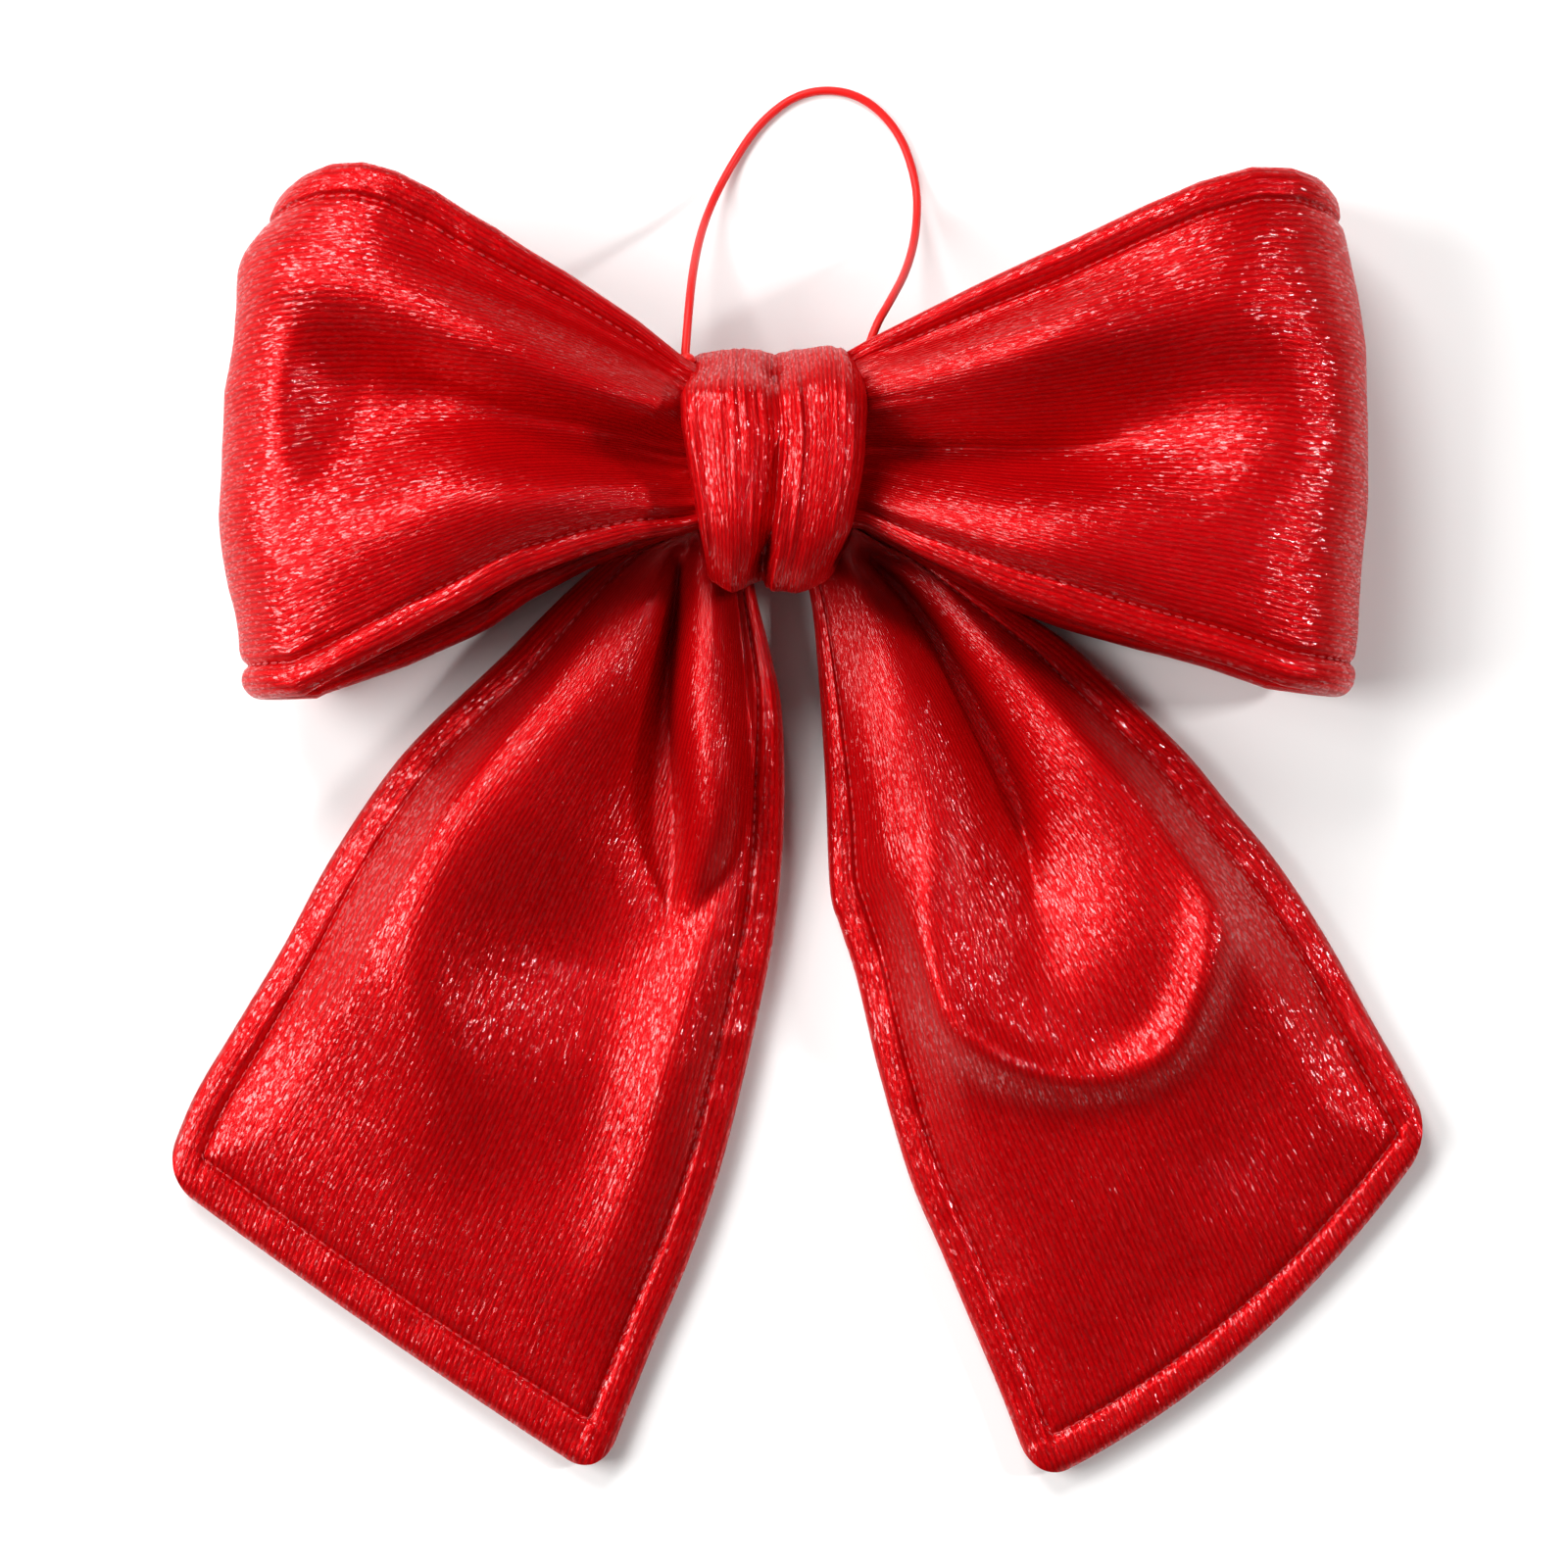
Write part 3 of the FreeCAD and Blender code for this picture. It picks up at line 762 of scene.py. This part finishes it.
# the ring seen from below: distance out from the band, and height
LOOP_RING = [
    (14, 33), (20, 34.5), (35, 38), (55, 41), (75, 42.6), (92, 42.5), (103, 39.5), (110, 33),
    (112.6, 23.5), (110, 13.5), (103, 6.8), (92, 3.9), (76, 5.2), (58, 9.5), (40, 15), (27, 19.5),
    (20, 21.5), (14, 22.5),
]


def loop_piece(name, sign, reach_at, top_at, bottom_at, back_drop, relief, seed):
    """reach_at, top_at and bottom_at give the outline; relief adds the front ply's folds."""
    ring = curve_through(LOOP_RING, 400)
    gaps = np.concatenate([[0], np.cumsum(np.linalg.norm(np.diff(ring, axis=0), axis=1))])
    stations = np.linspace(0, gaps[-1], LOOP_ROWS)
    ring_out = np.interp(stations, gaps, ring[:, 0])
    ring_z = np.interp(stations, gaps, ring[:, 1])
    bight = gaps[np.argmax(ring[:, 0])]
    cloth = cloth_places(LOOP_CLOTH)
    s, c = np.meshgrid(stations, cloth, indexing="ij")
    out, z = (np.meshgrid(values, cloth, indexing="ij")[0] for values in (ring_out, ring_z))
    # outward from the ring's own middle line, the same all across the strip
    slope_out, slope_z = np.gradient(ring_out), np.gradient(ring_z)
    outward = np.stack([-sign * slope_z, 0 * slope_z, slope_out], axis=1)
    outward /= np.linalg.norm(outward, axis=1, keepdims=True)
    outward = outward[:, None, :]
    behind = smooth_step(s, bight - 6, bight + 30)
    top = np.interp(out, *zip(*top_at))
    bottom = np.interp(out, *zip(*bottom_at)) - behind * np.interp(out, *zip(*back_drop))
    width = top - bottom
    hem_now = HEM * np.clip(0.3 + 0.7 * (width - 25) / 50, 0.3, 1)
    y = bottom + across_strip(c, LOOP_CLOTH, width, hem_now)
    longest = ring[:, 0].max()
    reach = np.interp(y, *zip(*reach_at))
    out = out + (reach - longest) * smooth_step(out, 45, longest)
    x = sign * out
    side = np.minimum(c, LOOP_CLOTH - c)
    folds = relief(x, y)
    # fine gathers where the cloth runs in under the band
    gathers = ruffle(c, s * 0.05, 4.2, seed + 3) * np.exp(-(out - BAND_REACH) / 11)
    lift = (folds * (0.25 + 0.75 * smooth_step(side, 2, 14)) + 1.0 * gathers) * (1 - behind)
    lift = lift + (0.6 * ruffle(s, c, 20, seed)) * smooth_step(side, 6, 20)
    lift = lift + 0.35 * ruffle(s, c, 5, seed + 1) * np.exp(-np.abs(side - HEM) / 3)
    middle_surface = np.stack([x, y, z], axis=-1) + outward * lift[..., None]
    half = PAD_HALF * rounded_edge(side) * rounded_edge(np.minimum(s, gaps[-1] - s), 3.0)
    slim = 0.55 + 0.45 * smooth_step(width, 38, 75)
    groove = hem_groove(side, s)
    front = np.maximum(half - np.minimum(groove, half * 0.75), 0) * slim
    back = np.maximum(half - np.minimum(0.7 * groove, half * 0.75), 0) * slim
    uv = np.stack([s, c], axis=-1)
    piece, upper = padded_shell(name, middle_surface, outward, front, back, uv, sign < 0)
    piece.data.materials.append(foil_cloth)
    return piece, [upper[14:-14, STITCH_PLACE], upper[14:-14, -1 - STITCH_PLACE]]


def left_loop_relief(x, y):
    # a hollow in the bight and one deep tuck from the band, with a soft roll on each side of it
    z = roll(x, y, [(-60, 12, -1, 9), (-72, 14.5, -6, 12), (-84, 15, -6, 15)])
    z = z + tuck(x, y, [(-15, 5, 10, 1.5), (-32, 8, 12, 1.8), (-51, 11.5, 12, 2.4), (-66, 16, 8, 4),
                        (-80, 20, 1, 7)], 11)
    z = z + roll(x, y, [(-18, 11, 4, 5), (-40, 16, 8, 7), (-62, 24, 8, 9), (-82, 33, 7, 10),
                        (-100, 42, 4, 10)])
    z = z + roll(x, y, [(-18, 19, -2, 4), (-42, 31, -3, 5), (-72, 47, -3, 7)])
    z = z + roll(x, y, [(-18, -5, 4, 6), (-44, -5, 7, 9), (-72, -10, 6, 12), (-92, -18, 3, 13)])
    z = z + dent(x, y, (-88, 12), (16, 25), 6, -5)
    z = z + roll(x, y, [(-98, 32, 0, 4), (-101, 12, 3, 4.5), (-98, -12, 0, 5)])
    return z


def right_loop_relief(x, y):
    # a long shallow hollow in the bight, and a shorter tuck from the band between two rolls
    z = roll(x, y, [(50, 5.5, -1, 8), (66, 7.5, -7, 11), (82, 10, -8, 13), (98, 14, -3, 12)])
    z = z + tuck(x, y, [(15, 4.5, 10, 1.5), (40, 4.2, 12, 1.8), (57, 4.2, 10, 2.6), (76, 5, 1, 5)], 11)
    z = z + roll(x, y, [(18, 15, 4, 6), (40, 20, 7, 8), (62, 26, 8, 10), (92, 34, 4, 14)])
    z = z + roll(x, y, [(20, 22, -2, 3), (42, 30, -4, 4), (78, 45, -1, 6)])
    z = z + roll(x, y, [(18, -5, 4, 6), (40, -9, 7, 10), (66, -15, 6, 14), (92, -20, 2, 16)])
    return z


loops = {
    "left": loop_piece(
        "left_loop_padded",
        sign=-1,
        reach_at=[(-52, 106), (-44, 108), (-35, 108.5), (-25, 110.8), (-10, 112.4), (4, 112.7), (16, 112),
         (31, 109), (45, 104.5), (56, 100.5), (62, 98.5)],
        top_at=[(14, 20), (19, 23), (28, 30), (42, 39.3), (58, 48.6), (74, 56), (86, 60), (96, 62),
                (104, 62), (109, 60.5), (113, 57.5)],
        bottom_at=[(14, -12), (19, -13.5), (29, -15.5), (39, -18.5), (52, -23.5), (65, -30.5),
                   (80, -37.5), (91, -42.5), (102, -47.5), (113, -48)],
        back_drop=[(20, 0), (40, 2), (60, 4.5), (80, 3), (100, 0)],
        relief=left_loop_relief,
        seed=21,
    ),
    "right": loop_piece(
        "right_loop_padded",
        sign=1,
        reach_at=[(-50, 117), (-43, 118), (-37, 118.2), (-25, 119.4), (-8, 120.3), (10, 120.7), (25, 119.8),
         (37, 118), (50, 115.5), (58, 114), (66, 113)],
        top_at=[(14, 23), (20, 26.4), (41, 36.8), (60, 45.7), (75, 53), (86, 57.8), (97, 61),
                (105, 61.2), (110, 60), (113, 57.5)],
        bottom_at=[(14, -11.5), (19, -12.5), (30, -18.5), (49, -27.5), (62, -32.5), (75, -37),
                   (88, -41), (100, -45.5), (113, -47.5)],
        back_drop=[(20, 0), (40, 1), (60, 1), (80, 0), (100, 0)],
        relief=right_loop_relief,
        seed=41,
    ),
}
tails = {
    "left": tail_piece(
        "left_tail_padded", LEFT_TAIL_OUTER, LEFT_TAIL_INNER,
        tip_hem=9.5, bow=1.0, relief=left_tail_relief, flip=False, seed=61,
    ),
    "right": tail_piece(
        "right_tail_padded", RIGHT_TAIL_OUTER, RIGHT_TAIL_INNER,
        tip_hem=7.8, bow=8.0, relief=right_tail_relief, flip=True, seed=81,
    ),
}

# ---------------------------------------------------------------------------------------------
# Top-stitching: short, tight stitches of red thread lying in the grooves beside the hems, one
# mesh for each loop and tail, set out along the stitch line by geometry nodes.

STITCH_LONG = 1.7 * MM
STITCH_THICK = 0.42 * MM
# polyester sewing thread: duller than the foil, so a seam reads as a fine dark dotted line
thread_material, tree = new_material("polyester_thread")
shader = add_node(
    tree,
    "ShaderNodeBsdfPrincipled",
    inputs={"Base Color": linear("#B40A14"), "Roughness": 0.5, "Sheen Weight": 0.3},
)
finish_material(tree, shader)


def stitch_group():
    """Geometry nodes that lay one rounded stitch at every step along a curve."""
    group = bpy.data.node_groups.new("stitches_along_curve", "GeometryNodeTree")
    group.interface.new_socket("Line", in_out="INPUT", socket_type="NodeSocketGeometry")
    group.interface.new_socket("Pitch", in_out="INPUT", socket_type="NodeSocketFloat")
    group.interface.new_socket("Stitches", in_out="OUTPUT", socket_type="NodeSocketGeometry")
    given = add_node(group, "NodeGroupInput")
    even = add_node(
        group,
        "GeometryNodeResampleCurve",
        [("Curve", given.outputs["Line"]), ("Length", given.outputs["Pitch"])],
        mode="LENGTH",
    )
    ball = add_node(
        group, "GeometryNodeMeshUVSphere", inputs={"Segments": 8, "Rings": 6, "Radius": 1.0}
    )
    stitch = add_node(
        group,
        "GeometryNodeTransform",
        [("Geometry", ball.outputs["Mesh"])],
        {"Scale": (STITCH_THICK / 2, STITCH_THICK / 2, STITCH_LONG / 2)},
    )
    tangent = add_node(group, "GeometryNodeInputTangent")
    facing = add_node(
        group, "FunctionNodeAlignRotationToVector", [("Vector", tangent.outputs[0])], axis="Z"
    )
    laid = add_node(
        group,
        "GeometryNodeInstanceOnPoints",
        [
            ("Points", even.outputs["Curve"]),
            ("Instance", stitch.outputs["Geometry"]),
            ("Rotation", facing.outputs["Rotation"]),
        ],
    )
    real = add_node(
        group, "GeometryNodeRealizeInstances", [("Geometry", laid.outputs["Instances"])]
    )
    smooth = add_node(
        group, "GeometryNodeSetShadeSmooth", [("Geometry", real.outputs["Geometry"])]
    )
    coloured = add_node(
        group,
        "GeometryNodeSetMaterial",
        [("Geometry", smooth.outputs["Geometry"])],
        {"Material": thread_material},
    )
    add_node(group, "NodeGroupOutput", [("Stitches", coloured.outputs["Geometry"])])
    return group


stitches = stitch_group()


def stitch_piece(name, lines):
    """The stitches along some lines, as one mesh object."""
    data = bpy.data.curves.new(name, "CURVE")
    data.dimensions = "3D"
    for line in lines:
        spline = data.splines.new("POLY")
        spline.points.add(len(line) - 1)
        places = np.hstack([line * MM + [0, 0, 0.0001], np.ones((len(line), 1))])
        spline.points.foreach_set("co", places.reshape(-1))
    guide = bpy.data.objects.new(name + "_guide", data)
    scene.collection.objects.link(guide)
    modifier = guide.modifiers.new("stitches", "NODES")
    modifier.node_group = stitches
    for item in stitches.interface.items_tree:
        if item.name == "Pitch":
            modifier[item.identifier] = STITCH_PITCH * MM
    view = bpy.context.evaluated_depsgraph_get()
    mesh = bpy.data.meshes.new_from_object(guide.evaluated_get(view))
    mesh.name = name
    bpy.data.objects.remove(guide)
    piece = bpy.data.objects.new(name, mesh)
    scene.collection.objects.link(piece)
    return piece


# ---------------------------------------------------------------------------------------------
# Each strip and its stitches take the place of the plain cloth, wadding and lining solids. The
# loops are set in place as they lie; the tails turn on the fold behind it.

BEND_FROM = 0.017
BEND_TO = 0.04
LOOP_PARTS = ("outer_cloth", "wadding", "lining_cloth")
TAIL_PARTS = ("front_cloth", "wadding", "back_cloth")
for kind, pieces, parts in (("loop", loops, LOOP_PARTS), ("tail", tails, TAIL_PARTS)):
    for side, (strip, lines) in pieces.items():
        body = f"{side}_{kind}"
        seam = stitch_piece(f"{body}_stitches", lines)
        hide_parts(*(f"{body}_{part}" for part in parts))
        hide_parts(f"{body}_topstitch")
        for piece in (strip, seam):
            if kind == "loop":
                sign = -1 if side == "left" else 1
                start, end = ((sign * out, 0, 0.03) for out in (BEND_FROM, BEND_TO))
                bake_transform(piece)
            else:
                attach(piece, body)

# ---------------------------------------------------------------------------------------------
# Centre band: a padded strip of the same cloth pulled tight round the pinched loops. It is
# crossed over itself in front, so it shows two swollen halves, finely gathered lengthwise.

BAND_AROUND = 260
BAND_SECTION = 150
BAND_POWER = 2.7


# the band's left edge, crossing and right edge: heights up the bow, and how far out they lie
BAND_LEFT = (
    [-26, -21, -14, -9, 1, 8, 14, 20, 26],
    [-11.5, -14.2, -15.2, -16, -17.8, -19, -19.2, -18, -17.5],
)
BAND_CROSSING = (
    [-26, -20, -16, -8, 0, 6, 14, 20, 26],
    [-2.4, -1.9, -0.6, 0.9, 1.5, 1.9, 0.8, 0.2, 0.2],
)
BAND_RIGHT = (
    [-26, -24, -20, -13, -3, 1, 12, 18, 22, 26],
    [8.5, 10.5, 13, 16, 18, 18.6, 19.2, 18.9, 17.8, 15.5],
)
BAND_PLAIN_HALF = 16.5
BAND_GATHERS = 34


def band_piece(name):
    """A closed padded ring round the loops' middle."""
    turn = np.linspace(0, 2 * math.pi, BAND_AROUND, endpoint=False)
    # the band's middle line in the plane across the bow, a rounded rectangle
    cos, sin = np.cos(turn), np.sin(turn)
    ring_y = 21.3 * np.sign(cos) * np.abs(cos) ** (2 / BAND_POWER)
    ring_z = 29.5 + 14.6 * np.sign(sin) * np.abs(sin) ** (2 / BAND_POWER)
    ring = np.stack([ring_y, ring_z], axis=1)
    tangent = np.roll(ring, -1, axis=0) - np.roll(ring, 1, axis=0)
    outward = np.stack([tangent[:, 1], -tangent[:, 0]], axis=1)
    outward /= np.linalg.norm(outward, axis=1, keepdims=True)
    # round the strip's own section: the outer face takes most of the points
    outer_count = BAND_SECTION * 3 // 4
    outer_share = np.linspace(-1, 1, outer_count)
    inner_share = np.linspace(1, -1, BAND_SECTION - outer_count + 2)[1:-1]
    share = np.concatenate([outer_share, inner_share])
    is_outer = np.concatenate([np.ones(outer_count, bool), np.zeros(len(inner_share), bool)])
    Y, T = np.meshgrid(ring_y, share, indexing="ij")
    Z = ring_z[:, None] + 0 * T
    OUT = is_outer[None, :] & np.ones_like(Y, bool)
    front = smooth_step(Z, 26, 38)
    low, middle_x, high = (
        plain + smooth_step(Z, 13, 20) * (np.interp(Y, *shape) - plain)
        for plain, shape in (
            (-BAND_PLAIN_HALF, BAND_LEFT), (0.0, BAND_CROSSING), (BAND_PLAIN_HALF, BAND_RIGHT)
        )
    )
    X = np.where(T < 0, low + (T + 1) * (middle_x - low), middle_x + T * (high - middle_x))
    lobe = np.abs(np.where(T < 0, 2 * T + 1, 2 * T - 1))
    strength = 0.35 + 0.65 * front
    swell = 3.4 * (1 - lobe**2.4) ** 0.7
    plain_edge = 2.4 * np.clip(1 - np.abs(T) ** 5, 0, 1) ** 0.5
    # the right half lies over the left one below, so its edge stays high there
    low_part = smooth_step(-Y, -8, 8)
    over = low_part * (2.2 * np.exp(-(((T - 0.05) / 0.16) ** 2)) * smooth_step(T, -0.03, 0.03))
    over = over - low_part * 2.2 * smooth_step(T, -0.5, -0.05) * (1 - smooth_step(T, -0.03, 0.03))
    sides = np.interp(T, [-1, -0.75, -0.1, 0, 0.12, 0.6, 1], [-5.6, -5.0, -5.2, -6.2, -4.0, -1.4, -2.6])
    ends = np.interp(T, [-1, -0.55, -0.12, 0, 0.1, 0.45, 1], [-2.2, 0.1, -1.8, -6.6, -1.0, 0.3, -2.4])
    outline = sides * smooth_step(Y, 12, 21) + ends * smooth_step(-Y, 12, 21)
    # gathers: fine folds along the strip, drawn together towards its lower end
    rng = np.random.default_rng(7)
    gathers = np.zeros_like(X)
    for _ in range(BAND_GATHERS):
        place = rng.uniform(-0.97, 0.97)
        size = rng.uniform(0.2, 0.55)
        wide = rng.uniform(0.022, 0.05)
        sway = rng.uniform(-0.05, 0.05)
        start = rng.uniform(-26, 12)
        reach = rng.uniform(14, 40)
        end = start + reach
        shown = smooth_step(Y, start - 6, start + 2) * (1 - smooth_step(Y, end, end + 8))
        gathers += size * np.exp(-(((T - place - sway * Y / 20) / wide) ** 2)) * shown
    raised = plain_edge + (swell + gathers + over) * strength + outline * front
    offset = np.where(OUT, raised, -2.6 * np.clip(1 - np.abs(T) ** 4, 0, 1) ** 0.5)
    pushed_y, pushed_z = (ring[:, None, i] + outward[:, None, i] * offset for i in (0, 1))
    points = np.stack([X, pushed_y, pushed_z], axis=-1)
    rows, columns = X.shape
    index = np.arange(rows * columns).reshape(rows, columns)
    next_row, next_column = np.roll(index, -1, axis=0), np.roll(index, -1, axis=1)
    corner = np.roll(next_row, -1, axis=1)
    faces = np.stack([index, next_row, corner, next_column], axis=-1).reshape(-1, 4)
    mesh = bpy.data.meshes.new(name)
    mesh.from_pydata((points.reshape(-1, 3) * MM).tolist(), [], faces.tolist())
    around = np.concatenate([[0], np.cumsum(np.linalg.norm(np.diff(ring, axis=0), axis=1))])
    around = np.append(around, around[-1] + np.linalg.norm(ring[0] - ring[-1]))
    girth = np.concatenate([outer_share * 26, 26 + (1 - inner_share) * 20, [66.0]])
    corner_around = np.stack([around[:-1], around[1:], around[1:], around[:-1]], axis=1)
    corner_girth = np.stack([girth[:-1], girth[:-1], girth[1:], girth[1:]], axis=1)
    uv = np.zeros((rows, columns, 4, 2))
    uv[..., 0] = corner_around[:, None, :]
    uv[..., 1] = corner_girth[None, :, :]
    layer = mesh.uv_layers.new(name="strip")
    layer.data.foreach_set("uv", uv.reshape(-1))
    mesh.shade_smooth()
    mesh.update()
    piece = bpy.data.objects.new(name, mesh)
    scene.collection.objects.link(piece)
    piece.data.materials.append(foil_cloth)
    return piece


band = band_piece("knot_band_padded")
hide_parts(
    "knot_band_cloth", "knot_band_wadding", "knot_band_lining", "knot_band_closing_stitches"
)
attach(band, "centre")

# ---------------------------------------------------------------------------------------------
# Inside the band: the pinched middle of the loops, bound by a few turns of thread, and behind
# it the fold of cloth that both tails hang from, the flat face that rests on a parcel.


BUNDLE_ROWS = 59
BUNDLE_SIDES = 96


def bundle(name, centre, half_sizes, power, pleats, depth, axis):
    """A soft block of folded cloth, its pleats running along one axis."""
    polar = np.linspace(0, math.pi, BUNDLE_ROWS + 2)
    turn = np.linspace(0, 2 * math.pi, BUNDLE_SIDES + 1)[:-1]
    A, B = np.meshgrid(polar, turn, indexing="ij")

    def bent(value):
        return np.sign(value) * np.abs(value) ** (2 / power)

    along = bent(np.cos(A))
    ring = bent(np.sin(A))
    fold = 1 + depth * np.cos(pleats * B)
    parts = [along * half_sizes[0], ring * bent(np.cos(B)) * fold * half_sizes[1]]
    parts.append(ring * bent(np.sin(B)) * fold * half_sizes[2])
    if axis == "Y":
        parts = [parts[1], parts[0], parts[2]]
    points = np.stack(parts, axis=-1) + np.array(centre)
    body = points[1:-1].reshape(-1, 3)
    ends = np.array([points[0, 0], points[-1, 0]])
    rows, columns = BUNDLE_ROWS, BUNDLE_SIDES
    index = np.arange(rows * columns).reshape(rows, columns)
    side = np.roll(index, -1, axis=1)
    faces = np.stack([index[:-1], side[:-1], side[1:], index[1:]], axis=-1).reshape(-1, 4).tolist()
    first, last = rows * columns, rows * columns + 1
    faces += [(first, int(side[0, j]), int(index[0, j])) for j in range(columns)]
    faces += [(last, int(index[-1, j]), int(side[-1, j])) for j in range(columns)]
    if axis == "X":
        faces = [tuple(reversed(face)) for face in faces]
    mesh = bpy.data.meshes.new(name)
    mesh.from_pydata((np.vstack([body, ends]) * MM).tolist(), [], faces)
    layer = mesh.uv_layers.new(name="strip")
    corner_vertex = np.zeros(len(mesh.loops), int)
    mesh.loops.foreach_get("vertex_index", corner_vertex)
    everywhere = np.vstack([body, ends])
    flat = everywhere[:, [0, 1]] if axis == "X" else everywhere[:, [1, 0]]
    layer.data.foreach_set("uv", flat[corner_vertex].reshape(-1))
    mesh.shade_smooth()
    mesh.update()
    piece = bpy.data.objects.new(name, mesh)
    scene.collection.objects.link(piece)
    piece.data.materials.append(foil_cloth)
    return piece


pinched_middle = bundle("pinched_middle", (0, 0, 29.5), (17.5, 18.0, 11.0), 3.2, 14, 0.03, "X")
back_fold = bundle("back_fold_of_tails", (0, -1.5, 5.9), (14.5, 17.0, 5.9), 4.5, 10, 0.02, "Y")
TURNS = 5
TURN_STEPS = 48
THREAD_THICK = 0.7
THREAD_SPREAD = 4
THREAD_SQUARENESS = 0.62
binding_thread = bpy.data.curves.new("binding_thread", "CURVE")
binding_thread.dimensions = "3D"
wound = binding_thread.splines.new("POLY")
wound.points.add(TURNS * TURN_STEPS)
for number in range(TURNS * TURN_STEPS + 1):
    angle = 2 * math.pi * number / TURN_STEPS
    c, s = math.cos(angle), math.sin(angle)
    wound.points[number].co = (
        THREAD_SPREAD * (number / (TURNS * TURN_STEPS) - 0.5) * MM,
        18.9 * MM * math.copysign(abs(c) ** THREAD_SQUARENESS, c),
        (29.5 + 11.8 * math.copysign(abs(s) ** THREAD_SQUARENESS, s)) * MM,
        1.0,
    )
binding_thread.bevel_depth = THREAD_THICK / 2 * MM
binding_thread.bevel_resolution = 2
binding_thread.use_fill_caps = True
binding_curve = bpy.data.objects.new("binding_curve", binding_thread)
scene.collection.objects.link(binding_curve)
binding_mesh = bpy.data.meshes.new_from_object(
    binding_curve.evaluated_get(bpy.context.evaluated_depsgraph_get())
)
bpy.data.objects.remove(binding_curve)
binding = bpy.data.objects.new("binding_thread", binding_mesh)
scene.collection.objects.link(binding)
binding_mesh.materials.clear()
binding_mesh.materials.append(thread_material)
binding_mesh.shade_smooth()
for piece, node, slot in (
    (pinched_middle, "loop_neck", "lame_cloth"),
    (back_fold, "tail_fold", "lame_cloth"),
    (binding, "gathering_thread", "thread"),
):
    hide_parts(node)
    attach(piece, "centre")
